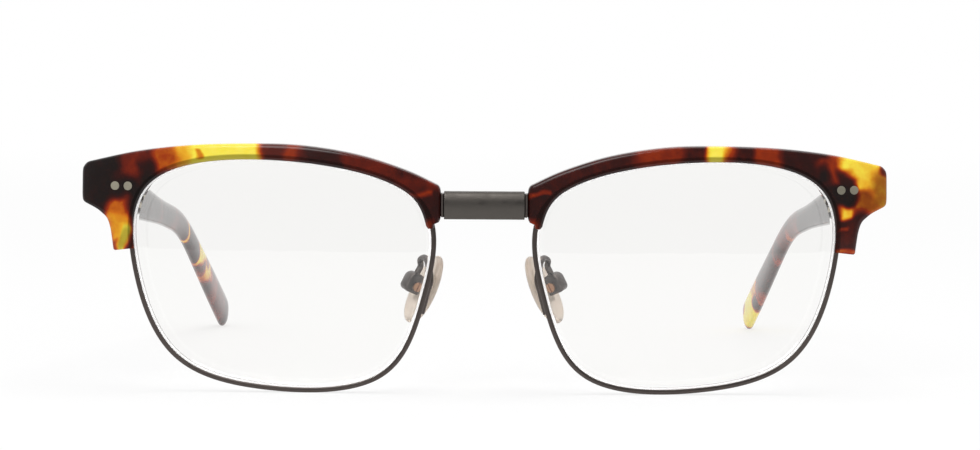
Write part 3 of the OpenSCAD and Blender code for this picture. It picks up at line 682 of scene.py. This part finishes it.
lean, splay = math.radians(PAD_LEAN), math.radians(PAD_SPLAY)
PAD_DOWN = Vector((math.sin(lean), 0, -math.cos(lean)))
PAD_BACK = PAD_DOWN.cross(Vector((math.sin(splay), math.cos(splay), 0))).cross(PAD_DOWN).normalized()
PAD_AXIS = PAD_DOWN.cross(PAD_BACK)


def in_pad_frame(x, y, z):
    return BOX_MIDDLE + x * PAD_DOWN + y * PAD_BACK + z * PAD_AXIS


def make_pad(side_name, material):
    """An egg-shaped cushion with a crowned face towards the nose and a rounded edge."""
    sides, face = 48, BOX_MOUTH - PAD_GAP
    profile = [
        (0.12, -1.0), (0.3, -0.99), (0.5, -0.96), (0.68, -0.9), (0.82, -0.8), (0.92, -0.66), (0.98, -0.5),
        (1.0, -0.34), (0.985, -0.18), (0.94, -0.07), (0.87, -0.01), (0.8, 0.0), (0.4, 0.0), (0.12, 0.0),
    ]  # as (share of the outline, share of the thickness)

    def outline(scale, depth):
        ring = []
        for i in range(sides):
            a = i * 2 * math.pi / sides
            ring.append(
                in_pad_frame(
                    scale * PAD_LENGTH / 2 * math.cos(a),
                    scale * PAD_WIDTH / 2 * math.sin(a) * (1 + 0.14 * math.cos(a)),
                    face + depth * PAD_THICK,
                )
            )
        return ring

    tips = (in_pad_frame(0, 0, face - PAD_THICK), in_pad_frame(0, 0, face))
    solid = skin([outline(*q) for q in profile], tips=tips)
    obj = new_object(side_name + "_pad_silicone", solid, SIDES[side_name])
    return finish_piece(obj, side_name + "_pad", material, side_name + "_nose_pad", 60)


def make_box(side_name, material):
    """A channel with rounded corners that holds the pad's insert."""
    wide = BOX_WIDE / 2
    corners = [
        (BOX_FOOT, BOX_MOUTH, 0.25, 270),
        (BOX_FOOT, BOX_ROOF, 0.8, 0),
        (BOX_TOP, BOX_ROOF, 1.3, 90),
        (BOX_TOP, BOX_MOUTH, 0.8, 180),
    ]  # as (x, z, radius, angle at which the round starts)
    outline = []
    for x, z, r, turn in corners:
        middle = (x - math.copysign(r, x), z - math.copysign(r, z))
        for a in (math.radians(turn + k) for k in range(0, 91, 15)):
            outline.append((middle[0] + r * math.cos(a), middle[1] + r * math.sin(a)))
    rounded = [(0.86, 0.0), (0.96, 0.12), (1.0, 0.35)]  # as (share of the outline, distance from the side)
    sides = [(k, y - wide) for k, y in rounded] + [(k, wide - y) for k, y in reversed(rounded)]
    rings = [[in_pad_frame(k * x, y, k * z) for x, z in outline] for k, y in sides]
    obj = new_object(side_name + "_box_metal", skin(rings), SIDES[side_name])
    points, faces = block(
        (BOX_TOP + BOX_WALL, BOX_FOOT + 1),
        (BOX_WALL - wide, wide - BOX_WALL),
        (BOX_MOUTH - 1, BOX_ROOF - BOX_WALL),
    )
    cut(obj, [([in_pad_frame(*p) for p in points], faces)], SIDES[side_name])
    return finish_piece(obj, "front", material, side_name + "_pad_box", 50)


def make_arm(side_name, material):
    """A wire that lies flat along the rim's back, turns over behind the lens and ends in the box."""

    def rim_back(z):
        return on_curve(edge_out(turn_at(z, -1), FOOT_OUT), RIM_DEPTH / 2 + ARM_R + 0.04)

    path = [rim_back(BRIDGE_Z - d) for d in (19, 17, 15, 13)]
    path += vectors(
        [
            (LENS_GAP / 2 + 1, 3.3, BRIDGE_Z - 10.2),
            (LENS_GAP / 2 + 1.55, 4.7, BRIDGE_Z - 9.5),
            (LENS_GAP / 2 + 2.3, 6.1, BRIDGE_Z - 10),
        ]
    )
    path += [in_pad_frame(ARM_END - 1.4, 0, ARM_END_RISE), in_pad_frame(ARM_END, 0, ARM_END_RISE)]
    steps, sides = 72, 20
    plane = Vector((-0.8, 0.5, 0)).normalized()

    def ring(k):
        middle = through(path, k)
        ahead = (through(path, k + 0.004) - through(path, k - 0.004)).normalized()
        side = ahead.cross(plane).normalized()
        up = side.cross(ahead)
        flat = smooth(k / 0.28)
        wide, thin = mix(0.75, 1, flat), mix(0.35, 1, flat)
        return [
            middle
            + ARM_R * math.cos(a) * wide * up
            + ARM_R * (math.sin(a) * thin + 1 - thin) * side
            for a in (i * 2 * math.pi / sides for i in range(sides))
        ]

    rings = [ring(i / steps) for i in range(steps + 1)]
    obj = new_object(side_name + "_arm_wire", skin(rings), SIDES[side_name])
    return finish_piece(obj, "front", material, side_name + "_pad_arm", 50)


# Materials


class Shader:
    """A material and short ways to add nodes to it."""

    def __init__(self, name):
        self.material = bpy.data.materials.new(name)
        self.material.use_nodes = True
        self.tree = self.material.node_tree
        self.surface = self.tree.nodes["Principled BSDF"]
        self.output = self.tree.nodes["Material Output"]

    def node(self, kind, **settings):
        node = self.tree.nodes.new(kind)
        for key, value in settings.items():
            setattr(node, key, value)
        return node

    def link(self, source, target):
        self.tree.links.new(source, target)

    def fill(self, socket, value):
        if isinstance(value, bpy.types.NodeSocket):
            self.link(value, socket)
        else:
            socket.default_value = value

    def coordinates(self):
        return self.node("ShaderNodeTexCoord").outputs["Object"]

    def noise(self, vector, scale, detail=2.0, roughness=0.5):
        node = self.node("ShaderNodeTexNoise")
        self.link(vector, node.inputs["Vector"])
        node.inputs["Scale"].default_value = scale
        node.inputs["Detail"].default_value = detail
        node.inputs["Roughness"].default_value = roughness
        return node

    def scaled(self, vector, factor):
        return self.vector("MULTIPLY", vector, (factor, factor, factor))

    def vector(self, operation, a, b=(0, 0, 0)):
        node = self.node("ShaderNodeVectorMath", operation=operation)
        self.fill(node.inputs[0], a)
        self.fill(node.inputs[1], b)
        return node.outputs["Value" if operation == "LENGTH" else "Vector"]

    def math(self, operation, a, b=0.0):
        node = self.node("ShaderNodeMath", operation=operation)
        self.fill(node.inputs[0], a)
        self.fill(node.inputs[1], b)
        return node.outputs[0]

    def ramp_value(self, value, low, high, start=0.0, end=1.0):
        """value between low and high, mapped smoothly to between start and end."""
        node = self.node("ShaderNodeMapRange", interpolation_type="SMOOTHSTEP")
        for socket, number in zip(node.inputs, (value, low, high, start, end)):
            self.fill(socket, number)
        return node.outputs[0]

    def mix_value(self, factor, a, b):
        node = self.node("ShaderNodeMix", data_type="FLOAT")
        self.fill(node.inputs[0], factor)
        self.fill(node.inputs[2], a)
        self.fill(node.inputs[3], b)
        return node.outputs[0]

    def mix_colour(self, factor, a, b, blend="MIX"):
        node = self.node("ShaderNodeMix", data_type="RGBA", blend_type=blend)
        self.fill(node.inputs[0], factor)
        self.fill(node.inputs[6], a)
        self.fill(node.inputs[7], b)
        return node.outputs[2]

    def bump(self, height, strength, distance):
        node = self.node("ShaderNodeBump")
        node.inputs["Strength"].default_value = strength
        node.inputs["Distance"].default_value = distance
        self.link(height, node.inputs["Height"])
        self.link(node.outputs["Normal"], self.surface.inputs["Normal"])

    def colour_ramp(self, value, stops):
        node = self.node("ShaderNodeValToRGB")
        ramp = node.color_ramp
        while len(ramp.elements) < len(stops):
            ramp.elements.new(0.5)
        for element, (place_on_ramp, colour) in zip(ramp.elements, stops):
            element.position = place_on_ramp
            element.color = colour
        self.link(value, node.inputs[0])
        return node.outputs[0]


def linear(code):
    """A hex colour as linear RGBA."""
    parts = [int(code[i : i + 2], 16) / 255 for i in (0, 2, 4)]
    return tuple(c / 12.92 if c < 0.04045 else ((c + 0.055) / 1.055) ** 2.4 for c in parts) + (1.0,)


TORTOISE_STOPS = [
    (0.0, linear("1c1413")),
    (0.18, linear("35120f")),
    (0.36, linear("621b0e")),
    (0.52, linear("95300a")),
    (0.66, linear("c66a12")),
    (0.8, linear("e3aa26")),
    (0.92, linear("efdd48")),
    (1.0, linear("f2e258")),
]

# Patches of the tortoiseshell, each as (x, z, half width, half height, tone) in millimetres.
# Tone runs from 0, near black, over red and orange, to 1, yellow. Later patches cover earlier ones.
SOFT_EDGE = 1.15
WANDER = 4.0  # how far the patches' edges stray, in millimetres
FLECK = 0.035  # how far the tone varies within a patch
BROW_GLOSS, TEMPLE_GLOSS = 0.35, 0.6
LIP_ROUGHNESS, POLISHED_ROUGHNESS = 0.14, 0.06

BROW_PATCHES = {
    "right": [
        (-24, 40, 14, 6, 0.2), (-36, 42, 4.5, 4, 0.3), (-33, 41.8, 1.4, 3, 0.46),
        (-21, 39.5, 5, 2, 0.32), (-27.5, 41, 2.5, 3, 0.14), (-13.5, 36.6, 3, 1.4, 0.28),
        (-10.8, 34.9, 2, 0.45, 0.5), (-10, 32.3, 2.4, 2.2, 0.12), (-10.2, 28.9, 1.2, 1.2, 0.52),
        (-66, 36, 6, 6, 0.0), (-61.2, 39.2, 2.8, 3, 0.36), (-57.8, 38.2, 2.4, 2.4, 0.04),
        (-60, 33.5, 4.5, 3, 0.03), (-64, 34.5, 4, 3, 0.0), (-54.2, 41, 3.4, 3.2, 0.56),
        (-50.5, 41.8, 3.2, 3.4, 0.8), (-45.3, 42, 6, 4, 0.95), (-50.1, 41.6, 0.5, 1.2, 0.66),
        (-64, 31.2, 1.7, 3, 0.6), (-63.9, 27.6, 1.9, 3.2, 0.74), (-60.6, 27, 0.5, 3.2, 0.56),
        (-63, 26.2, 0.85, 2.5, 0.93), (-65, 25, 0.7, 1.2, 0.5),
    ],
    "left": [
        (20, 39, 16, 7, 0.18), (31, 41.8, 4.4, 3.5, 0.42), (36.6, 41.8, 2.4, 3, 0.2),
        (9, 32.5, 2.6, 3, 0.1), (9.9, 34.9, 2, 0.45, 0.42), (8.9, 28.9, 1.3, 1.4, 0.52),
        (49.6, 41.5, 2.8, 3.4, 0.48), (45, 41.8, 2.2, 3, 0.18), (40.9, 42.2, 1.7, 4, 0.96),
        (56, 40, 4, 4, 0.12), (61.5, 35, 3.4, 2.6, 0.03), (60.2, 38.6, 2.6, 2.2, 0.44),
        (58.7, 37.9, 1.3, 1.6, 0.0), (67, 38.6, 3, 3.6, 0.86), (64.9, 40.6, 2.4, 1.6, 0.88),
        (62.9, 38, 1.3, 1.4, 0.16), (64, 37.2, 1.5, 1.4, 0.1), (69.6, 35.5, 2, 4, 0.72),
        (70, 39.2, 1.1, 0.8, 0.4), (67, 33.4, 2.6, 1.6, 0.64), (63.4, 35, 2, 1.6, 0.02),
        (63.2, 31.8, 1.5, 1, 0.84), (63.5, 27.2, 2.6, 2.4, 0.2), (62.8, 28.9, 0.9, 0.35, 0.42),
        (63.4, 24.6, 2, 0.5, 0.56),
    ],
}

# Spots of painted shade on the acetate, on the left end piece and over the right rim lock, as (x, z, half
# width, half height)
BROW_PAINTED_SHADE = {
    "right": [(-63, 26.2, 1, 2.6)],
    "left": [(70.6, 36.4, 2.6, 4.4), (66.8, 33.5, 3, 1.6)],
}

# The same along the temples, each as (y from the front's face, z, half length, half height, tone).
TEMPLE_PATCHES = {
    "right": [
        (20, 35, 20, 8, 0.05), (26, 34, 3, 3, 0.4), (60, 30, 22, 9, 0.06), (71, 28.5, 1.1, 5, 0.42),
        (89, 24.2, 4, 1.4, 0.34), (97, 23, 7, 5, 0.2), (103, 22.8, 1.2, 3.5, 0.8),
        (110, 20, 5, 5, 0.16), (112.5, 21.2, 1.2, 1, 0.5), (118, 17.2, 3.8, 2.4, 0.9),
        (124.5, 12.6, 4, 1.8, 0.84), (123, 14, 0.9, 0.8, 0.4), (131, 13.4, 4.5, 2, 0.1),
        (138, 7, 5, 4, 0.3), (141, 9.4, 3, 0.7, 0.52), (145.5, 3.6, 3.4, 3, 0.14),
        (148.5, 0.6, 1.6, 0.8, 0.7),
    ],
    "left": [
        (20, 35, 20, 8, 0.05), (27, 36, 3, 2, 0.5), (62, 30, 24, 9, 0.06), (93, 24.4, 4.5, 4, 0.34),
        (98.5, 22, 2.2, 1.4, 0.56), (106, 21.6, 5, 3, 0.36), (107, 18.4, 5, 1.6, 0.18),
        (122, 15, 8, 5, 0.18), (137, 8.6, 5.5, 4, 0.74), (137, 6.4, 5, 1.2, 0.12),
        (143.5, 4.4, 8, 4.4, 0.95), (145.5, 4.6, 1.1, 1, 0.44),
    ],
}


def tortoise(name, patches, axis, gloss, painted_shade_spots=(), lip=False):
    """Polished acetate with dark, red and amber patches that run right through it.

    The patches lie on the given axis (0 is x, 1 is y) and z. A lip gets painted shade where the rim is
    behind it, and the given shade spots are painted shade as well.
    """
    s = Shader(name)
    place_mm = s.scaled(s.coordinates(), 1 / MM)
    wander = s.vector("SUBTRACT", s.noise(place_mm, 0.2, 1.0).outputs["Color"], (0.5, 0.5, 0.5))
    where = s.vector("ADD", s.scaled(wander, WANDER), place_mm)
    spread = [0.0, 0.0, 1.0]
    spread[axis] = 1.0
    where = s.vector("MULTIPLY", where, tuple(spread))

    tone = s.ramp_value(s.noise(place_mm, 0.11, 1.0, 0.45).outputs["Fac"], 0.36, 0.66, 0.14, 0.48)
    for a, z, wide, tall, value in patches:
        soft = min(SOFT_EDGE, 0.75 * min(wide, tall))
        centre, inner = [0.0, 0.0, z], [0.0, 0.0, tall - soft]
        centre[axis], inner[axis] = a, wide - soft
        offset = s.vector("ABSOLUTE", s.vector("SUBTRACT", where, tuple(centre)))
        offset = s.vector("MAXIMUM", s.vector("SUBTRACT", offset, tuple(inner)), (0, 0, 0))
        mask = s.ramp_value(s.vector("LENGTH", offset), 0.0, 2 * soft, 1.0, 0.0)
        tone = s.mix_value(mask, tone, value)
    fine = s.noise(place_mm, 0.5, 2.0).outputs["Fac"]
    tone = s.math("ADD", tone, s.ramp_value(fine, 0.3, 0.7, -FLECK, FLECK))
    colour = s.colour_ramp(tone, TORTOISE_STOPS)
    if lip:
        # painted shade: the lip's colour is darkened where the rim lies behind the acetate
        rim_behind = s.node("ShaderNodeAttribute", attribute_name="rim_behind").outputs["Fac"]
        rim_shaded_colour = s.mix_colour(1.0, colour, linear("9a9a8c"), "MULTIPLY")
        colour = s.mix_colour(s.math("MULTIPLY", rim_behind, 0.85), colour, rim_shaded_colour)
    # painted shade: the colour is darkened in each given spot
    for a, z, wide, tall in painted_shade_spots:
        centre, size = [0.0, 0.0, z], [0.0, 0.0, 1 / tall]
        centre[axis], size[axis] = a, 1 / wide
        offset = s.vector("MULTIPLY", s.vector("SUBTRACT", where, tuple(centre)), tuple(size))
        shade = s.ramp_value(s.vector("LENGTH", offset), 0.5, 1.3, 0.85, 0.0)
        colour = s.mix_colour(shade, colour, s.mix_colour(1.0, colour, linear("a8a390"), "MULTIPLY"))
    s.link(colour, s.surface.inputs["Base Color"])
    s.surface.inputs["Roughness"].default_value = LIP_ROUGHNESS if lip else POLISHED_ROUGHNESS
    s.surface.inputs["Specular IOR Level"].default_value = gloss
    s.surface.inputs["Subsurface Weight"].default_value = 0.15
    s.surface.inputs["Subsurface Radius"].default_value = (0.0012, 0.0006, 0.0002)
    s.surface.inputs["Subsurface Scale"].default_value = 1.0
    s.bump(s.noise(place_mm, 0.3, 1.0).outputs["Fac"], 0.06, 0.0004)
    return s.material


def metal(name, colour, roughness, grain=0.05):
    """Satin metal with a fine, even grain."""
    s = Shader(name)
    fine = s.noise(s.coordinates(), 9000, 3.0).outputs["Fac"]
    dark = tuple(c * (1 - grain * 3) for c in linear(colour)[:3]) + (1.0,)
    pale = tuple(min(1, c * (1 + grain * 3)) for c in linear(colour)[:3]) + (1.0,)
    s.link(s.mix_colour(fine, dark, pale), s.surface.inputs["Base Color"])
    broad = s.noise(s.coordinates(), 500, 2.0).outputs["Fac"]
    s.link(s.ramp_value(broad, 0.3, 0.7, roughness - 0.05, roughness + 0.05), s.surface.inputs["Roughness"])
    s.surface.inputs["Metallic"].default_value = 1.0
    s.bump(fine, 0.15, 0.00002)
    return s.material


CLEAR_SHADE, EDGE_GLOW = 0.93, 0.5


def glass():
    """Clear lens glass that lets lamps through."""
    s = Shader("lens_glass")
    smear = s.noise(s.coordinates(), 60, 2.0).outputs["Fac"]
    s.link(s.mix_colour(smear, linear("fbfaf9"), linear("fafaf8")), s.surface.inputs["Base Color"])
    s.surface.inputs["Transmission Weight"].default_value = 1.0
    s.surface.inputs["Roughness"].default_value = 0.0
    s.surface.inputs["IOR"].default_value = 1.5
    clear = s.node("ShaderNodeBsdfTransparent")
    clear.inputs["Color"].default_value = (CLEAR_SHADE, CLEAR_SHADE, CLEAR_SHADE, 1)
    shadow = s.node("ShaderNodeLightPath").outputs["Is Shadow Ray"]
    both = s.node("ShaderNodeMixShader")
    s.link(shadow, both.inputs[0])
    s.link(s.surface.outputs[0], both.inputs[1])
    s.link(clear.outputs[0], both.inputs[2])
    s.link(both.outputs[0], s.output.inputs["Surface"])
    return s.material


def ground_edge():
    """The ground edge and safety bevel of a lens.

    Its weak glow stands for the light that reaches such a face through the lens.
    """
    s = Shader("lens_edge")
    grind = s.noise(s.scaled(s.coordinates(), 1 / MM), 4, 2.0).outputs["Fac"]
    s.link(s.mix_colour(grind, linear("fafaf9"), linear("ffffff")), s.surface.inputs["Base Color"])
    s.surface.inputs["Roughness"].default_value = 0.7
    s.surface.inputs["Transmission Weight"].default_value = 0.85
    s.surface.inputs["Emission Color"].default_value = (1.0, 1.0, 1.0, 1)
    s.surface.inputs["Emission Strength"].default_value = EDGE_GLOW
    return s.material


def silicone():
    """Soft translucent silicone, slightly cloudy."""
    s = Shader("pad_silicone")
    cloud = s.noise(s.coordinates(), 400, 3.0).outputs["Fac"]
    s.link(s.mix_colour(cloud, linear("f8eee0"), linear("f4e2d4")), s.surface.inputs["Base Color"])
    s.surface.inputs["Transmission Weight"].default_value = 0.6
    s.surface.inputs["Roughness"].default_value = 0.3
    s.surface.inputs["IOR"].default_value = 1.41
    s.bump(s.noise(s.coordinates(), 2500, 2.0).outputs["Fac"], 0.1, 0.00003)
    return s.material


# Stage


FLOOR_SIZE = 12
WHITE_NEAR, WHITE_FAR = (0.2, 0.72), (1.1, 1.0)  # as (metres from the object, share of plain white)
ROOM_LIGHT = 0.64  # how brightly the world lights matt surfaces
ROOM_AHEAD, ROOM_BEHIND = (-0.95, 0.16), (0.1, 1.0)  # as (direction's y, brightness in glossy surfaces)


def make_floor():
    """A floor that is plain white to the camera, and keeps the object's shadow near it."""
    bpy.ops.mesh.primitive_plane_add(size=FLOOR_SIZE)
    floor = bpy.context.active_object
    floor.name = "floor"
    s = Shader("floor_white")
    s.surface.inputs["Base Color"].default_value = (0.9, 0.9, 0.9, 1)
    s.surface.inputs["Roughness"].default_value = 0.9
    glow = s.node("ShaderNodeEmission")
    glow.inputs["Color"].default_value = (1.0, 1.0, 1.0, 1)
    path = s.node("ShaderNodeLightPath")
    seen = s.math("MAXIMUM", path.outputs["Is Camera Ray"], path.outputs["Is Transmission Ray"])
    seen = s.math("MAXIMUM", seen, path.outputs["Is Glossy Ray"])
    (near, near_share), (far, far_share) = WHITE_NEAR, WHITE_FAR
    white = s.ramp_value(s.vector("LENGTH", s.coordinates()), near, far, near_share, far_share)
    share = s.math("MULTIPLY", seen, white)
    both = s.node("ShaderNodeMixShader")
    s.link(share, both.inputs[0])
    s.link(s.surface.outputs[0], both.inputs[1])
    s.link(glow.outputs[0], both.inputs[2])
    s.link(both.outputs[0], s.output.inputs["Surface"])
    floor.data.materials.append(s.material)


def make_world():
    """A white studio. Glossy surfaces see white behind the object and a dimmer room before it."""
    world = bpy.data.worlds.new("studio")
    bpy.context.scene.world = world
    world.use_nodes = True
    tree = world.node_tree
    back = tree.nodes["Background"]
    path = tree.nodes.new("ShaderNodeLightPath")
    seen = tree.nodes.new("ShaderNodeMath")
    seen.operation = "MAXIMUM"
    tree.links.new(path.outputs["Is Camera Ray"], seen.inputs[0])
    tree.links.new(path.outputs["Is Transmission Ray"], seen.inputs[1])
    direction = tree.nodes.new("ShaderNodeSeparateXYZ")
    tree.links.new(tree.nodes.new("ShaderNodeTexCoord").outputs["Generated"], direction.inputs[0])
    room = tree.nodes.new("ShaderNodeMapRange")
    room.interpolation_type = "SMOOTHSTEP"
    tree.links.new(direction.outputs["Y"], room.inputs["Value"])
    room.inputs["From Min"].default_value, room.inputs["To Min"].default_value = ROOM_AHEAD
    room.inputs["From Max"].default_value, room.inputs["To Max"].default_value = ROOM_BEHIND
    lit = tree.nodes.new("ShaderNodeMix")
    tree.links.new(path.outputs["Is Glossy Ray"], lit.inputs[0])
    lit.inputs[2].default_value = ROOM_LIGHT
    tree.links.new(room.outputs[0], lit.inputs[3])
    level = tree.nodes.new("ShaderNodeMix")
    tree.links.new(seen.outputs[0], level.inputs[0])
    tree.links.new(lit.outputs[0], level.inputs[2])
    level.inputs[3].default_value = 1.0
    tree.links.new(level.outputs[0], back.inputs["Strength"])
    back.inputs["Color"].default_value = (1, 1, 1, 1)


def add_lamp(name, size, location, watts):
    lamp = bpy.data.lights.new(name, "AREA")
    lamp.shape, lamp.size, lamp.energy = "DISK", size, watts
    obj = bpy.data.objects.new(name, lamp)
    bpy.context.scene.collection.objects.link(obj)
    obj.location = location
    obj.rotation_euler = (-Vector(location)).to_track_quat("-Z", "Y").to_euler()


def make_camera():
    """The photograph's camera, fitted to the lenses' outlines, the end pieces and the temple tips."""
    eye = Vector((2.1, -731.4, 70.4))
    turn, tilt, roll = (math.radians(a) for a in (-0.086, 3.198, 0.355))
    focal_px, frame_px, sensor = 4212.0, 980.0, 36.0
    camera = bpy.data.cameras.new("camera")
    camera.sensor_width = sensor
    camera.lens = sensor * focal_px / frame_px
    camera.clip_end = 50
    obj = bpy.data.objects.new("camera", camera)
    bpy.context.scene.collection.objects.link(obj)
    ahead = Vector((math.sin(turn) * math.cos(tilt), math.cos(turn) * math.cos(tilt), -math.sin(tilt)))
    right = Vector((math.cos(turn), -math.sin(turn), 0))
    up = right.cross(ahead)
    c, s = math.cos(roll), math.sin(roll)
    right, up = right * c + up * s, up * c - right * s
    place_at = Vector((eye.x, eye.y - MIDDLE_Y, eye.z)) * MM
    obj.matrix_world = Matrix.Translation(place_at) @ Matrix((right, up, -ahead)).transposed().to_4x4()
    bpy.context.scene.camera = obj


# Build

gunmetal = metal("gunmetal", "57504d", 0.34)
cover_metal = metal("cover_gunmetal", "585450", 0.36)
steel = metal("hinge_steel", "b5aea0", 0.3)
copper = metal("screw_copper", "ad8265", 0.3)
rivet_steel = metal("rivet_steel", "b2ac9a", 0.4, 0.08)
lens_glass = glass()
ground_glass = ground_edge()
pad_silicone = silicone()

make_bar(gunmetal)
make_cover(cover_metal)
for name in SIDES:
    brow_acetate = tortoise(
        name + "_brow_tortoise", BROW_PATCHES[name], 0, BROW_GLOSS, BROW_PAINTED_SHADE[name], lip=True
    )
    make_brow(name, brow_acetate)
    along = [(y - MIDDLE_Y, z, a, b, tone) for y, z, a, b, tone in TEMPLE_PATCHES[name]]
    drop = make_temple(name, tortoise(name + "_temple_tortoise", along, 1, TEMPLE_GLOSS))
    make_core(name, drop, steel)
    make_rim(name, gunmetal)
    make_lens(name, lens_glass, ground_glass)
    make_pad(name, pad_silicone)
    make_box(name, gunmetal)
    make_arm(name, gunmetal)

CAD_FINISH = {
    "rim_lock": gunmetal,
    "pad_screw": copper,
    "rim_screw": steel,
    "brow_screw": steel,
    "hinge_screw": steel,
    "front_hinge": steel,
    "temple_hinge": steel,
    "front_rivets": rivet_steel,
    "temple_rivets": steel,
    "pad_insert": steel,
}
for node, obj in NODES.items():
    finish = CAD_FINISH.get(node.replace("left_", "").replace("right_", ""))
    if finish is not None:
        obj.data.materials.clear()
        obj.data.materials.append(finish)
        soften_edges(obj, METAL_EDGE)

make_floor()
make_world()
add_lamp("top_lamp", 1.2, (0.2, 0.1, 1.5), 9)
add_lamp("front_lamp", 0.8, (-0.3, -1.3, 0.9), 7.5)
make_camera()
bpy.context.scene.view_settings.view_transform = "Standard"
